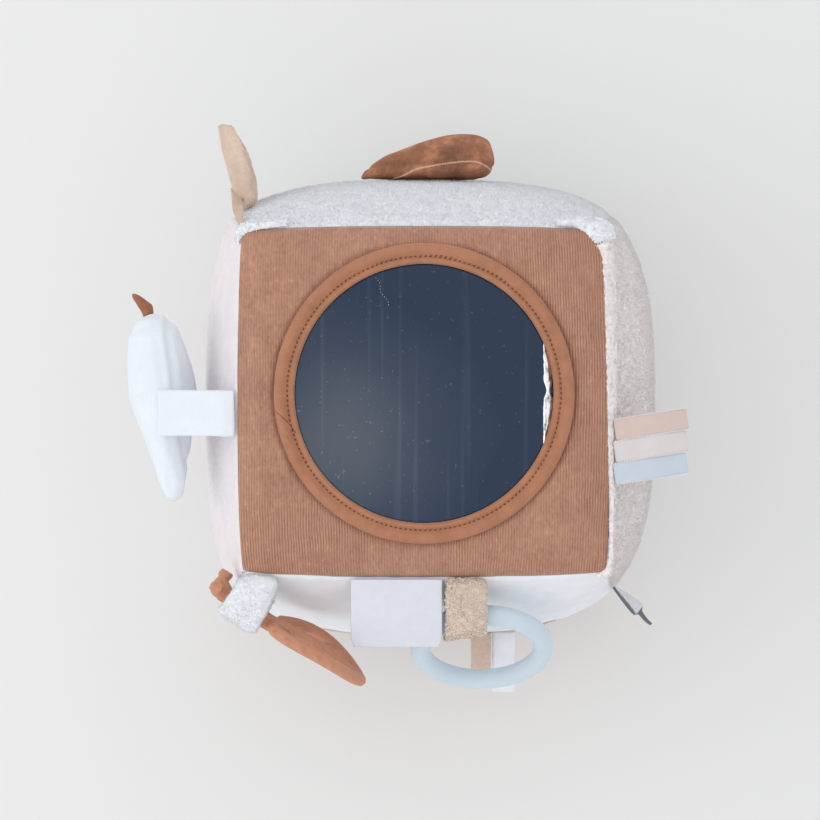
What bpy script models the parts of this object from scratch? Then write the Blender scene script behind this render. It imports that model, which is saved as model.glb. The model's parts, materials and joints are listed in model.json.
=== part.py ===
"""A soft activity block: a stuffed fabric cube with a mirror on top and toys sewn into its seams.

Metres, +Z up out of the mirror. The origin is the middle of the flat patch that the block rests on,
and +X and +Y run along the sides of the mirror panel.
"""

import math

import bmesh
import bpy
from mathutils import Matrix, Vector

# Clearances
CLEAR = 0.0003               # between pieces that touch
STUFFING_CLEAR = 0.0006      # between the stuffing and the cover
STUFFING_TOP_CLEAR = 0.0022  # and under the ruled top panel
SEAM_CLEAR = 0.00025         # each panel stops this far short of its seam
OVERRUN = 0.004              # cutters reach this far past what they cut

# Block: its seams outline a cube, and the stuffing bows the seams and crowns the panels
SEAM_EDGE = 0.150            # seam to seam along each edge
CORNER_BOW = 0.012           # upright seams bow out this far at half height
TOP_SEAM_BOW = 0.0010        # top seams bow out in the middle
BASE_SEAM_BOW = 0.0025
CORNER_PULL = 0.005          # upright seams are drawn in at half height
END_PULL = 0.0010            # and this little at their ends
TOP_DRAW = 0.0045            # the front and back top seams are drawn together by this
CROWN_LEFT = 0.0065
CROWN_RIGHT = 0.0125
CROWN_BACK = 0.0085
CROWN_FRONT = 0.0125
TOP_CROWN = 0.0180           # crown that the flat mirror cuts off
TOP_RISE = 0.0055            # flat of the top above its seams
BASE_DROP = 0.0075           # flat of the base below its seams
BASE_CUT = 0.0005            # the base's crown is flattened by this much where it rests
ALONG_POWER = 3              # how square a crown is along the block's sides
UPRIGHT_POWER = 2            # and up its sides
PANEL_CELLS = 12
RULED_ROWS = 6               # rows of facets between the window and the seams

# Cloth thicknesses, pile included
KNIT_THICK = 0.0020
PLUSH_THICK = 0.0050
MUSLIN_THICK = 0.0020
COTTON_THICK = 0.0018
BASE_THICK = 0.0020

# Mirror in its window
MIRROR_SHIFT = 0.0033        # the window sits this far behind the panel's middle
WINDOW_RADIUS = 0.0522       # visible mirror
TAPE_THICK = 0.0012
TAPE_TOP_WIDTH = 0.0083
TAPE_UNDER_WIDTH = 0.0062
TAPE_ROUND = 0.0005
WINDOW_EASE = 0.0009         # between the cut edge of the knit and the fold of the tape
FILM_THICK = 0.0006
FILM_MARGIN = 0.0068         # film hidden beyond the visible edge
BACKING_THICK = 0.0040
BACKING_MARGIN = 0.0076
ROUND_SIDES = 60

# Rattle capsule in the middle of the stuffing
RATTLE_RADIUS = 0.0170
RATTLE_WALL = 0.0016
RATTLE_LIP = 0.0007
RATTLE_LIP_HEIGHT = 0.0018
RATTLE_SIDES = 24
BEAD_RADIUS = 0.0025
BEADS_ROUND = 6
BEAD_ROOM_SHARE = 1.04       # room between the beads that lie round the lowest
RATTLE_POLE_DEG = 75.0       # a shell's rings end this far from its equator, and the lid's begin
RATTLE_LID_DEG = 15.0

# Teething ring and its plush loop, on the front top seam
RING_RADIUS = 0.0258         # to the middle of its tube
RING_TUBE = 0.0042
RING_CENTRE_X = 0.0243
RING_TOP_OUT = 0.0157        # top of the ring's tube, out from the seam
RING_TOP_DOWN = 0.0052       # and down from it
RING_SLOPE_DEG = 53.0        # the ring hangs at this angle below level
RING_LOOP_X = 0.0170
RING_LOOP_WIDTH = 0.0170
RING_LOOP_THICK = 0.0028
LOOP_ROOT_THICK = 0.0012     # plush is pressed flat in a seam
RING_EASE = 0.0013           # the ring's loop goes round its tube with this much room
STEM_EASE = 0.0008           # and the leaf's round its stem
WRAP_OVER_DEG = 112.0        # how far a loop follows its tube above and below
WRAP_UNDER_DEG = 92.0
LOOP_NECK_SHARE = 0.75       # thickness of a loop half way to its tube, from flat to full
LOOP_EDGE_SHARE = 0.7        # thickness of a loop at its two edges

# Leaf teether and its plush loop, beside the front left corner
STEM_X = -0.0730
STEM_Y = -0.0845
STEM_Z = 0.1485
STEM_TURN_DEG = -32.5        # the leaf's long axis, turned about +Z from +X
LEAF_LEAN_DEG = 10.0         # its upper rim leans away from the block
FORK_LEAN_DEG = 32.0         # and its fork leans further, as the stem is twisted in the loop
STEM_RADIUS = 0.0036
LEAF_LOOP_WIDTH = 0.0205
LEAF_LOOP_THICK = 0.0032
LEAF_LOOP_SEAM = 0.0140      # width of the loop where it is sewn into the front seam
LEAF_LOOP_ROOT_OFF = 0.0019   # and how far it stands out and up there
LEAF_LOOP_SEAM_X = -0.0650   # middle of that stretch of seam
FORK_END = -0.0172           # ends of the leaf, measured along it from the loop's middle
FORK_START = -0.0120
FORK_SPREAD = 0.0050
FORK_BOW = 0.0036            # the fork's ends are pressed this far towards the block
FORK_RADIUS = 0.0033
BLADE_START = 0.0120
BLADE_END = 0.0555
BLADE_HALF = 0.0150
BLADE_BOW = 0.0030           # the blade bends towards the block
RIM_RADIUS = 0.0027
MIDRIB_RADIUS = 0.0021
VEIN_RADIUS = 0.0014
VEIN_LEAN = 0.0110           # a vein runs this far along the blade to meet the rim
VEIN_ROOT_SHARES = (0.14, 0.42)
BUMP_RADIUS = 0.0014
BUMP_PITCH = 0.0062
BUMP_RING_SHARES = ((-0.5, 0.9), (0.2, 0.95), (0.75, 0.6))
LEAF_RIM_CELLS = 14
LEAF_WIDE_POWER = 0.75       # how near its tip the leaf is widest, and how full it is
VEIN_BEND_SHARE = 0.48       # where a vein is half way along its run
FORK_SHARES = (1.0, 1.0, 0.95, 0.5)
FORK_FLARE_SHARE = 1.1

# Bird charm and its strap, on the left top seam
BIRD_X = -0.1085
BIRD_Y = -0.0020
BIRD_BACK = 0.1500           # height of the bird's back under the strap
BIRD_LENGTH = 0.0785
BIRD_HALF_WIDTH = 0.0140
BIRD_HALF_HEIGHT = 0.0220
BIRD_TURN_DEG = 7.5
BIRD_STATION_SHARES = (0.0, 0.04, 0.12, 0.22, 0.32, 0.44, 0.56, 0.68, 0.80, 0.91, 0.98, 1.0)
BIRD_WIDTH_SHARES = (0.0, 0.48, 0.74, 0.88, 0.96, 1.0, 0.84, 0.64, 0.48, 0.36, 0.20, 0.0)
BIRD_HEIGHT_SHARES = (0.0, 0.40, 0.60, 0.70, 0.86, 1.0, 0.98, 0.80, 0.54, 0.32, 0.16, 0.0)
BIRD_LEVEL_SHARES = (0.22, 0.24, 0.26, 0.18, 0.04, 0.0, 0.02, 0.12, 0.26, 0.40, 0.48, 0.50)
BIRD_SIDES = 16
BEAK_LENGTH = 0.0115
BEAK_RADIUS = 0.0027
BEAK_TURN_DEG = 128.0        # from the bird's own side
BEAK_STATION_SHARES = ((0.02, 0.6), (0.16, 1.0), (0.5, 0.85), (0.85, 0.5))
STRAP_Y = -0.0048
STRAP_WIDTH = 0.0190
STRAP_THICK = 0.0026
STRAP_SAG = 0.0016
STRAP_CELLS = 8
STRAP_EDGE_SHARE = 0.8       # thickness of the strap and the tabs at their edges

# Care label and ribbons
LABEL_X = -0.0112
LABEL_WIDTH = 0.0375
LABEL_REACH = 0.0285
LABEL_DROP = 0.0060
LABEL_PLY = 0.0005
LABEL_OPEN = 0.0009          # between the two plies of a folded label or ribbon
RIBBON_Y = -0.0205
RIBBON_WIDTH = 0.0086
RIBBON_GAP = 0.0004
RIBBON_REACH = 0.0305
RIBBON_DROP = 0.0050
RIBBON_TURN_DEG = 8.5
RIBBON_PLY = 0.0005
CORNER_RIBBON_Z = 0.1300
CORNER_RIBBON_WIDTH = 0.0070
CORNER_RIBBON_REACH = 0.0150
CORNER_RIBBON_TURN_DEG = -42.0
CORNER_RIBBON_TWIST_DEG = 62.0
CORNER_TAIL_REACH = 0.0075
CORNER_TAIL_DROP = 0.0040
CORNER_RIBBON_PLY = 0.0012
CORNER_STEP_SHARES = (0.0, 0.2, 0.4, 0.6, 0.8, 0.95, 1.1, 1.35, 1.6, 1.8, 2.0)
CORNER_TAIL_SHARES = (0.30, 0.14)

# Tab and tag in the front cross seam
TAB_X = 0.0255
TAB_WIDTH = 0.0088
TAB_REACH = 0.0172
TAB_THICK = 0.0030
TAG_X = 0.0355
TAG_WIDTH = 0.0100
TAG_REACH = 0.0270
TAG_THICK = 0.0016
TAB_DROP = 0.0040
TAB_STAND_OFF = 0.0005       # a tab's root lies this far off the cross seam, so that it turns clear of it
TAB_ROOT_SHARE = 0.6
TAB_END_SHARE = 0.7

# Ear at the back left seam
EAR_Z = 0.1100
EAR_LENGTH = 0.0352
EAR_HALF_HEIGHT = 0.0210
EAR_TURN_DEG = 106.0         # from +X
EAR_SHIFT = 0.0056           # its root lies this far over the back panel
EAR_STAND_OFF = 0.0022       # and this far off the seam
EAR_CUP = 0.0065             # its edges curl this far towards the block
EAR_THICK = 0.0060
EAR_EDGE_THICK = 0.0026
EAR_ROOT_SHARE = 0.45        # how high the ear is where it is sewn in
EAR_WIDE_SHARE = 0.45        # how far along it is widest
EAR_TIP_SHARE = 0.56         # and how far on its rounded tip would close
EAR_PLEAT_SHARE = 0.90       # thickness at the root
EAR_SWELL_SHARE = 0.30       # the full thickness is reached this far along
EAR_THIN_SHARE = 0.60        # thins from here on
EAR_TIP_THICK_SHARE = 0.62
EAR_CUP_POWER = 0.28         # how soon along the ear its edges curl

# Velour leaf on the back face
PAD_X = 0.0020
PAD_TOP_Z = 0.1060
PAD_LENGTH = 0.0590
PAD_HEIGHT = 0.0420
PAD_THICK = 0.0130
PAD_EDGE_THICK = 0.0016
PAD_TILT = 0.0075            # the edge seam of its round end stands this far off the block
PAD_POINT_POWER = 1.94       # how far its widest part lies towards the round end
PAD_FULL_POWER = 0.35        # how full its outline is
PAD_TIP_SHARE = 0.06         # height left at its two ends
PAD_SWELL_POWER = 0.8

SMOOTH_DEG = 50.0
PATH_CELLS = 10

PALETTE = {
    "rib_knit": ((0.43, 0.20, 0.13), 0.95),
    "binding_tape": ((0.46, 0.20, 0.10), 0.85),
    "mirror_film": ((0.30, 0.34, 0.42), 0.08),
    "backing_foam": ((0.80, 0.80, 0.78), 0.90),
    "white_plush": ((0.84, 0.87, 0.90), 1.00),
    "pink_plush": ((0.70, 0.62, 0.62), 1.00),
    "pale_muslin": ((0.80, 0.75, 0.77), 0.95),
    "white_cotton": ((0.82, 0.83, 0.86), 0.90),
    "clay_muslin": ((0.52, 0.34, 0.28), 0.95),
    "base_knit": ((0.43, 0.20, 0.13), 0.95),
    "stuffing": ((0.88, 0.88, 0.86), 1.00),
    "capsule": ((0.80, 0.80, 0.80), 0.35),
    "beads": ((0.55, 0.20, 0.12), 0.40),
    "tan_plush": ((0.58, 0.44, 0.33), 1.00),
    "ring_silicone": ((0.56, 0.68, 0.76), 0.45),
    "leaf_silicone": ((0.50, 0.22, 0.11), 0.55),
    "satin_white": ((0.80, 0.80, 0.86), 0.55),
    "ribbon_beige": ((0.72, 0.56, 0.50), 0.50),
    "ribbon_pink": ((0.76, 0.69, 0.68), 0.50),
    "ribbon_blue": ((0.62, 0.72, 0.80), 0.50),
    "tan_velour": ((0.60, 0.44, 0.32), 0.95),
    "brown_velour": ((0.44, 0.22, 0.13), 0.95),
    "grey_satin": ((0.64, 0.66, 0.69), 0.50),
}

# Levels that follow from the sizes
BLOCK_MIDDLE = BASE_DROP + SEAM_EDGE / 2
SEAM_TOP = BLOCK_MIDDLE + SEAM_EDGE / 2
TOP_LEVEL = SEAM_TOP + TOP_RISE
TAPE_TOP_UNDER = TOP_LEVEL + CLEAR
TAPE_TOP = TAPE_TOP_UNDER + TAPE_THICK
TAPE_LOW_OVER = TOP_LEVEL - KNIT_THICK - CLEAR
TAPE_LOW = TAPE_LOW_OVER - TAPE_THICK
FILM_TOP = TAPE_LOW - CLEAR
BACKING_TOP = FILM_TOP - FILM_THICK - CLEAR
BACKING_LOW = BACKING_TOP - BACKING_THICK
WINDOW_CUT = WINDOW_RADIUS + TAPE_THICK + WINDOW_EASE

CROWNS = {"left": CROWN_LEFT, "right": CROWN_RIGHT, "back": CROWN_BACK, "front": CROWN_FRONT}
# Which of the three shares is fixed on a side, and its value there
SIDE_SHARES = {
    "right": (0, 1), "left": (0, -1), "back": (1, 1), "front": (1, -1), "top": (2, 1), "base": (2, -1),
}
COVER = {
    "right": PLUSH_THICK, "left": MUSLIN_THICK, "back": PLUSH_THICK,
    "front": COTTON_THICK, "top": KNIT_THICK, "base": BASE_THICK,
}


def clear_scene():
    """Empty the scene before modelling."""
    for item in list(bpy.data.objects):
        bpy.data.objects.remove(item, do_unlink=True)


def make_material(name):
    """Principled material from the palette."""
    material = bpy.data.materials.new(name)
    material.use_nodes = True
    shader = material.node_tree.nodes["Principled BSDF"]
    colour, roughness = PALETTE[name]
    shader.inputs["Base Color"].default_value = (*colour, 1.0)
    shader.inputs["Roughness"].default_value = roughness
    shader.inputs["Metallic"].default_value = 1.0 if name == "mirror_film" else 0.0
    return material


def add_piece(name, points, faces, material):
    """Object from points and faces, closed, facing out and smooth where it is round."""
    mesh = bpy.data.meshes.new(name)
    mesh.from_pydata([tuple(point) for point in points], [], faces)
    shape = bmesh.new()
    shape.from_mesh(mesh)
    bmesh.ops.recalc_face_normals(shape, faces=shape.faces)
    shape.to_mesh(mesh)
    shape.free()
    mesh.shade_smooth()
    mesh.set_sharp_from_angle(angle=math.radians(SMOOTH_DEG))
    piece = bpy.data.objects.new(name, mesh)
    bpy.context.collection.objects.link(piece)
    if material:
        mesh.materials.append(bpy.data.materials.get(material) or make_material(material))
    return piece


def add_cutter(name, points, faces):
    """Guide body that only shapes its neighbour."""
    cutter = add_piece(name, points, faces, None)
    cutter.hide_render = True
    cutter.display_type = "WIRE"
    return cutter


def combine(piece, other, operation):
    """Boolean of one piece with another object, left as a modifier."""
    modifier = piece.modifiers.new(operation.lower(), "BOOLEAN")
    modifier.operation = operation
    modifier.solver = "EXACT"
    modifier.object = other


def loft(rings, looped=False):
    """Points and faces of a skin over rings of points. A ring of one point closes its end."""
    points = [point for ring in rings for point in ring]
    starts = [sum(len(ring) for ring in rings[:index]) for index in range(len(rings))]
    pairs = list(zip(range(len(rings) - 1), range(1, len(rings))))
    if looped:
        pairs.append((len(rings) - 1, 0))
    faces = []
    for low, high in pairs:
        first, second = len(rings[low]), len(rings[high])
        count = max(first, second)
        for index in range(count):
            follow = (index + 1) % count
            corners = [starts[low] + index % first, starts[low] + follow % first,
                       starts[high] + follow % second, starts[high] + index % second]
            faces.append(list(dict.fromkeys(corners)))
    if not looped:
        for ring, start in ((rings[0], starts[0]), (rings[-1], starts[-1])):
            if len(ring) > 1:
                faces.append([start + index for index in range(len(ring))])
    return points, faces


def slab(outer, inner, us, vs):
    """Points and faces of a closed body between two sheets, functions of the shares u and v."""
    rows, columns = len(us), len(vs)
    points = [sheet(u, v) for sheet in (outer, inner) for u in us for v in vs]

    def corner(layer, row, column):
        return (layer * rows + row) * columns + column

    faces = []
    for layer in range(2):
        for row in range(rows - 1):
            for column in range(columns - 1):
                faces.append([corner(layer, row, column), corner(layer, row + 1, column),
                              corner(layer, row + 1, column + 1), corner(layer, row, column + 1)])
    edge = [(row, 0) for row in range(rows - 1)]
    edge += [(rows - 1, column) for column in range(columns - 1)]
    edge += [(row, columns - 1) for row in range(rows - 1, 0, -1)]
    edge += [(0, column) for column in range(columns - 1, 0, -1)]
    for here, there in zip(edge, edge[1:] + edge[:1]):
        faces.append([corner(0, *here), corner(0, *there), corner(1, *there), corner(1, *here)])
    return points, faces


def circle(radius, level, sides, middle=(0.0, 0.0)):
    """Level circle of points, or one point where the radius is zero."""
    if radius == 0:
        return [Vector((middle[0], middle[1], level))]
    turns = [2 * math.pi * index / sides for index in range(sides)]
    return [Vector((middle[0] + radius * math.cos(turn), middle[1] + radius * math.sin(turn), level))
            for turn in turns]


def turned(profile, sides, middle=(0.0, 0.0), looped=False):
    """Body turned from a profile of (radius, level), about an upright line through the middle."""
    if looped:
        rings = [[Vector((middle[0] + radius * math.cos(turn), middle[1] + radius * math.sin(turn), level))
                  for radius, level in profile]
                 for turn in (2 * math.pi * index / sides for index in range(sides))]
        return loft(rings, looped=True)
    return loft([circle(radius, level, sides, middle) for radius, level in profile])


def tube(path, radii, sides, looped=False):
    """Round tube along a path of points, with one radius for each point."""
    rings = []
    normal = None
    count = len(path)
    for index, point in enumerate(path):
        ahead = path[(index + 1) % count] if looped or index < count - 1 else point
        behind = path[index - 1] if looped or index > 0 else point
        along = (ahead - behind).normalized()
        if normal is None:
            normal = along.orthogonal()
        normal = (normal - along * normal.dot(along)).normalized()
        side = along.cross(normal)
        rings.append([point + radii[index] * (math.cos(turn) * normal + math.sin(turn) * side)
                      for turn in (2 * math.pi * step / sides for step in range(sides))])
    if not looped:
        return loft(rings)
    twist = _closing_twist(rings, sides)
    rings.append(rings[0][twist:] + rings[0][:twist])
    points, faces = loft(rings)
    return _weld(points, faces[:-2])


def _closing_twist(rings, sides):
    """Which point of the first ring lies nearest the last ring's first point."""
    gaps = [(rings[0][step] - rings[-1][0]).length for step in range(sides)]
    return gaps.index(min(gaps))


def _weld(points, faces):
    """Merge points that lie at one place."""
    shape = bmesh.new()
    corners = [shape.verts.new(point) for point in points]
    for face in faces:
        shape.faces.new([corners[index] for index in face])
    bmesh.ops.remove_doubles(shape, verts=shape.verts, dist=CLEAR / 100)
    shape.verts.index_update()
    merged = [vert.co.copy() for vert in shape.verts]
    loops = [[vert.index for vert in face.verts] for face in shape.faces]
    shape.free()
    return merged, loops


def blend(low, high, share):
    """Value between low and high."""
    return low + (high - low) * share


def steps(count, low=0.0, high=1.0):
    """Even shares from low to high, both ends included."""
    return [blend(low, high, index / count) for index in range(count + 1)]


def seam_steps(count, low=-1.0, high=1.0):
    """Shares from seam to seam, closer together near the seams."""
    even = steps(count, -1.0, 1.0)
    shares = [(share + math.sin(share * math.pi / 2)) / 2 for share in even]
    return [share for share in shares if low <= share <= high]


def heading(degrees, rise=0.0):
    """Unit vector turned about +Z from +X, then raised by an angle in degrees."""
    turn, lift = math.radians(degrees), math.radians(rise)
    return Vector((math.cos(turn) * math.cos(lift), math.sin(turn) * math.cos(lift), math.sin(lift)))


def block_point(a, b, c, inset):
    """Point of the block's surface, for shares a, b, c from -1 to 1 of the cube that the seams outline.

    One share is -1 or 1. The inset is how far a layer lies under the surface on each side.
    """
    seam_bow = blend(BASE_SEAM_BOW, TOP_SEAM_BOW, (c + 1) / 2)
    post_bow = CORNER_BOW * math.cos(c * math.pi / 2)
    pull = blend(CORNER_PULL, END_PULL, c * c) * (a * b) ** 4
    draw = TOP_DRAW * max(0, c) ** 2
    reach_x = SEAM_EDGE / 2 - inset["right" if a > 0 else "left"]
    reach_y = SEAM_EDGE / 2 - inset["back" if b > 0 else "front"]
    reach_z = SEAM_EDGE / 2 - inset["top" if c > 0 else "base"]
    x = a * (reach_x + post_bow + seam_bow * (1 - b * b) - pull)
    y = b * (reach_y + post_bow + seam_bow * (1 - a * a) - pull - draw)
    z = BLOCK_MIDDLE + c * reach_z
    if abs(a) == 1:
        x += a * CROWNS["right" if a > 0 else "left"] * crown_share(b, c, UPRIGHT_POWER)
    if abs(b) == 1:
        y += b * CROWNS["back" if b > 0 else "front"] * crown_share(a, c, UPRIGHT_POWER)
    if c == 1:
        z += min(TOP_RISE, TOP_CROWN * crown_share(a, b, ALONG_POWER))
    if c == -1:
        z -= min(BASE_DROP, (BASE_DROP + BASE_CUT) * crown_share(a, b, ALONG_POWER))
    return Vector((x, y, z))


def crown_share(along, across, power):
    """Share of a panel's crown at a place on it, none at its seams."""
    return (1 - abs(along) ** ALONG_POWER) * (1 - abs(across) ** power)


def side_point(side, u, v, inset):
    """Point of one side, for shares u and v across it."""
    axis, sign = SIDE_SHARES[side]
    shares = [u, v]
    shares.insert(axis, sign)
    return block_point(*shares, inset)


def even_inset(depth):
    """The same inset on every side."""
    return {side: depth for side in SIDE_SHARES}


def trimmed(shares):
    """Shares pulled back from a seam, so that neighbouring panels stay apart."""
    margin = SEAM_CLEAR / (SEAM_EDGE / 2)
    return [max(-1 + margin, min(1 - margin, share)) for share in shares]


def build_panel(name, side, material, low=-1.0, high=1.0):
    """One panel of the cover: a crowned sheet with mitred edges, drawn in at its corners."""
    us = trimmed(seam_steps(PANEL_CELLS))
    vs = trimmed(seam_steps(PANEL_CELLS, low, high))
    margin = SEAM_CLEAR / (SEAM_EDGE / 2)
    vs = [margin if share == 0 and low == 0 else -margin if share == 0 and high == 0 else share
          for share in vs]
    points, faces = slab(lambda u, v: side_point(side, u, v, even_inset(0.0)),
                         lambda u, v: side_point(side, u, v, COVER), us, vs)
    return add_piece(name, points, faces, material)


def build_mirror_panel():
    """Rib-knit top with its round window, ruled between the window and the seams."""
    margin = SEAM_CLEAR / (SEAM_EDGE / 2)
    limit = 1 - margin
    run = seam_steps(PANEL_CELLS)
    border = [(share * limit, -limit) for share in run[:-1]]
    border += [(limit, share * limit) for share in run[:-1]]
    border += [(-share * limit, limit) for share in run[:-1]]
    border += [(-limit, -share * limit) for share in run[:-1]]
    window = Vector((0.0, MIRROR_SHIFT, 0.0))
    rows = steps(RULED_ROWS)
    sections = []
    for u, v in border:
        section = []
        for inset, order in ((even_inset(0.0), rows), (COVER, rows[::-1])):
            edge = block_point(u, v, 1, inset)
            flat_edge = Vector((edge.x, edge.y, 0.0))
            rim = window + (flat_edge - window).normalized() * WINDOW_CUT
            for share in order:
                place = rim.lerp(flat_edge, share)
                rim_u, rim_v = rim.x / (SEAM_EDGE / 2), rim.y / (SEAM_EDGE / 2)
                rise = crown_share(blend(rim_u, u, share), blend(rim_v, v, share), ALONG_POWER)
                place.z = SEAM_TOP - inset["top"] + min(TOP_RISE, TOP_CROWN * rise)
                section.append(place)
        sections.append(section)
    points, faces = loft(sections, looped=True)
    return add_piece("mirror_panel", points, faces, "rib_knit")


def build_binding():
    """Tape folded round the window's edge, over and under the knit."""
    outer = WINDOW_RADIUS + TAPE_TOP_WIDTH
    under = WINDOW_RADIUS + TAPE_UNDER_WIDTH
    inside = WINDOW_RADIUS + TAPE_THICK
    profile = [
        (outer, TAPE_TOP_UNDER), (outer, TAPE_TOP - TAPE_ROUND), (outer - TAPE_ROUND, TAPE_TOP),
        (WINDOW_RADIUS + TAPE_ROUND, TAPE_TOP), (WINDOW_RADIUS, TAPE_TOP - TAPE_ROUND),
        (WINDOW_RADIUS, TAPE_LOW + TAPE_ROUND), (WINDOW_RADIUS + TAPE_ROUND, TAPE_LOW),
        (under, TAPE_LOW), (under, TAPE_LOW_OVER), (inside, TAPE_LOW_OVER), (inside, TAPE_TOP_UNDER),
    ]
    points, faces = turned(profile, ROUND_SIDES, (0.0, MIRROR_SHIFT), looped=True)
    return add_piece("mirror_binding", points, faces, "binding_tape")


def build_disc(name, radius, low, high, material):
    """Flat round disc under the window."""
    profile = [(0, low), (radius, low), (radius, high), (0, high)]
    points, faces = turned(profile, ROUND_SIDES, (0.0, MIRROR_SHIFT))
    return add_piece(name, points, faces, material)


def build_stuffing(name, low, high, cuts):
    """One wad of stuffing, between two shares of the height, hollowed by the cutters."""
    inset = {side: thick + STUFFING_CLEAR for side, thick in COVER.items()}
    inset["top"] = KNIT_THICK + STUFFING_TOP_CLEAR
    run = seam_steps(PANEL_CELLS)
    rise = [max(low, min(high, share)) for share in run]
    rise = sorted(set(rise))
    points, faces = [], []

    def patch(us, vs, place):
        start = len(points)
        points.extend(place(u, v) for u in us for v in vs)
        for row in range(len(us) - 1):
            for column in range(len(vs) - 1):
                corner = start + row * len(vs) + column
                faces.append([corner, corner + len(vs), corner + len(vs) + 1, corner + 1])

    for side in ("left", "right"):
        patch(run, rise, lambda u, v, side=side: side_point(side, u, v, inset))
    for side in ("front", "back"):
        patch(run, rise, lambda u, v, side=side: side_point(side, u, v, inset))
    patch(run, run, lambda u, v: block_point(u, v, low, inset))
    patch(run, run, lambda u, v: block_point(u, v, high, inset))
    points, faces = _weld(points, faces)
    wad = add_piece(name, points, faces, "stuffing")
    for cut in cuts:
        combine(wad, cut, "DIFFERENCE")
    return wad


def build_stuffing_pair():
    """Two wads with a hollow for the rattle between them, the upper with a pocket for the mirror."""
    profile = [(RATTLE_RADIUS + STUFFING_CLEAR) * Vector((math.cos(turn), math.sin(turn)))
               for turn in (math.radians(degree) for degree in range(-90, 91, 15))]
    rings = [(0 if abs(radius) < CLEAR / 2 else radius, BLOCK_MIDDLE + level) for radius, level in profile]
    hollow = add_cutter("rattle_hollow", *turned(rings, RATTLE_SIDES))
    pocket_radius = WINDOW_RADIUS + BACKING_MARGIN + STUFFING_CLEAR
    pocket_low, pocket_high = BACKING_LOW - CLEAR, TOP_LEVEL + OVERRUN
    pocket_profile = [(0, pocket_low), (pocket_radius, pocket_low), (pocket_radius, pocket_high),
                      (0, pocket_high)]
    pocket = add_cutter("mirror_pocket", *turned(pocket_profile, ROUND_SIDES, (0.0, MIRROR_SHIFT)))
    split = CLEAR / SEAM_EDGE
    build_stuffing("filling_lower", -1.0, -split, [hollow])
    build_stuffing("filling_upper", split, 1.0, [hollow, pocket])


def arc(radius, start_deg, end_deg, count):
    """Points of an arc as (radius, level) pairs about the origin."""
    turns = [math.radians(blend(start_deg, end_deg, share)) for share in steps(count)]
    return [(radius * math.cos(turn), radius * math.sin(turn)) for turn in turns]


def build_rattle():
    """Capsule of two halves that snap over a lip, with loose beads lying in it."""
    inner = RATTLE_RADIUS - RATTLE_WALL
    lip = inner + RATTLE_LIP
    slot = lip + CLEAR
    bowl = [(0, -RATTLE_RADIUS)] + arc(RATTLE_RADIUS, -RATTLE_POLE_DEG, 0, 5)
    bowl += [(lip, 0), (lip, RATTLE_LIP_HEIGHT), (inner, RATTLE_LIP_HEIGHT)]
    bowl += arc(inner, 0, -RATTLE_POLE_DEG, 5) + [(0, -inner)]
    lid_low = CLEAR
    lip_top = RATTLE_LIP_HEIGHT + CLEAR
    start = math.degrees(math.asin(lip_top / inner))
    lid = [(0, RATTLE_RADIUS)] + arc(RATTLE_RADIUS, RATTLE_POLE_DEG, RATTLE_LID_DEG, 4)
    lid += [(RATTLE_RADIUS, lid_low)]
    lid += [(slot, lid_low), (slot, lip_top)] + arc(inner, start, RATTLE_POLE_DEG, 5) + [(0, inner)]
    for name, profile in (("rattle_lower_shell", bowl), ("rattle_upper_shell", lid)):
        placed = [(radius, BLOCK_MIDDLE + level) for radius, level in profile]
        add_piece(name, *turned(placed, RATTLE_SIDES), "capsule")
    orbit = inner - BEAD_RADIUS - CLEAR
    spread = 2 * math.asin((BEAD_RADIUS + CLEAR) / orbit) * BEAD_ROOM_SHARE
    places = [Vector((0, 0, BLOCK_MIDDLE - orbit))]
    for index in range(BEADS_ROUND):
        turn = 2 * math.pi * index / BEADS_ROUND
        out = orbit * math.sin(spread)
        places.append(Vector((out * math.cos(turn), out * math.sin(turn),
                              BLOCK_MIDDLE - orbit * math.cos(spread))))
    for index, place in enumerate(places):
        shape = bmesh.new()
        bmesh.ops.create_icosphere(shape, subdivisions=1, radius=BEAD_RADIUS,
                                   matrix=Matrix.Translation(place))
        points = [vert.co.copy() for vert in shape.verts]
        shape.verts.index_update()
        faces = [[vert.index for vert in face.verts] for face in shape.faces]
        shape.free()
        add_piece(f"rattle_bead_{index + 1}", points, faces, "beads")


def band(path, across, width, thick, columns=1, edge_share=1.0):
    """Points and faces of a band: a path of places, widened along one direction.

    The thickness is one value for each place, and falls to a share of it at the band's two edges.
    """
    count = len(path(0.0))
    vs = steps(columns, -1.0, 1.0)

    def place(index, v, side):
        line = path(v)
        ahead, behind = line[min(index + 1, count - 1)], line[max(index - 1, 0)]
        normal = (ahead - behind).cross(across).normalized()
        full = thick[index] / 2 * blend(1.0, edge_share, v * v * v * v)
        return line[index] + across * (v * width / 2) + normal * full * side

    return slab(lambda index, v: place(index, v, 1), lambda index, v: place(index, v, -1),
                list(range(count)), vs)


def wrap_path(root, out, centre, radius, gap, count):
    """Path out of a seam, round a tube at the centre and back, as the two plies of a loop.

    The under ply leaves the tube early, so that it clears the crown of the panel below.
    """
    up = Vector((0, 0, 1))
    reach = centre - root
    angle = math.atan2(reach.dot(up), reach.dot(out))
    turns = [math.radians(blend(WRAP_OVER_DEG, -WRAP_UNDER_DEG, share)) + angle for share in steps(count)]
    bend = [centre + radius * (math.cos(turn) * out + math.sin(turn) * up) for turn in turns]
    side = (math.cos(angle) * up - math.sin(angle) * out)
    first, last = root + side * gap, root - side * gap
    return [first, first.lerp(bend[0], 0.5)] + bend + [last.lerp(bend[-1], 0.5), last]


def loop_thickness(count, root_thick, full):
    """Thickness along a loop, pressed flat where it is sewn in."""
    middle = blend(root_thick, full, LOOP_NECK_SHARE)
    return [root_thick, middle] + [full] * (count - 4) + [middle, root_thick]


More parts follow.
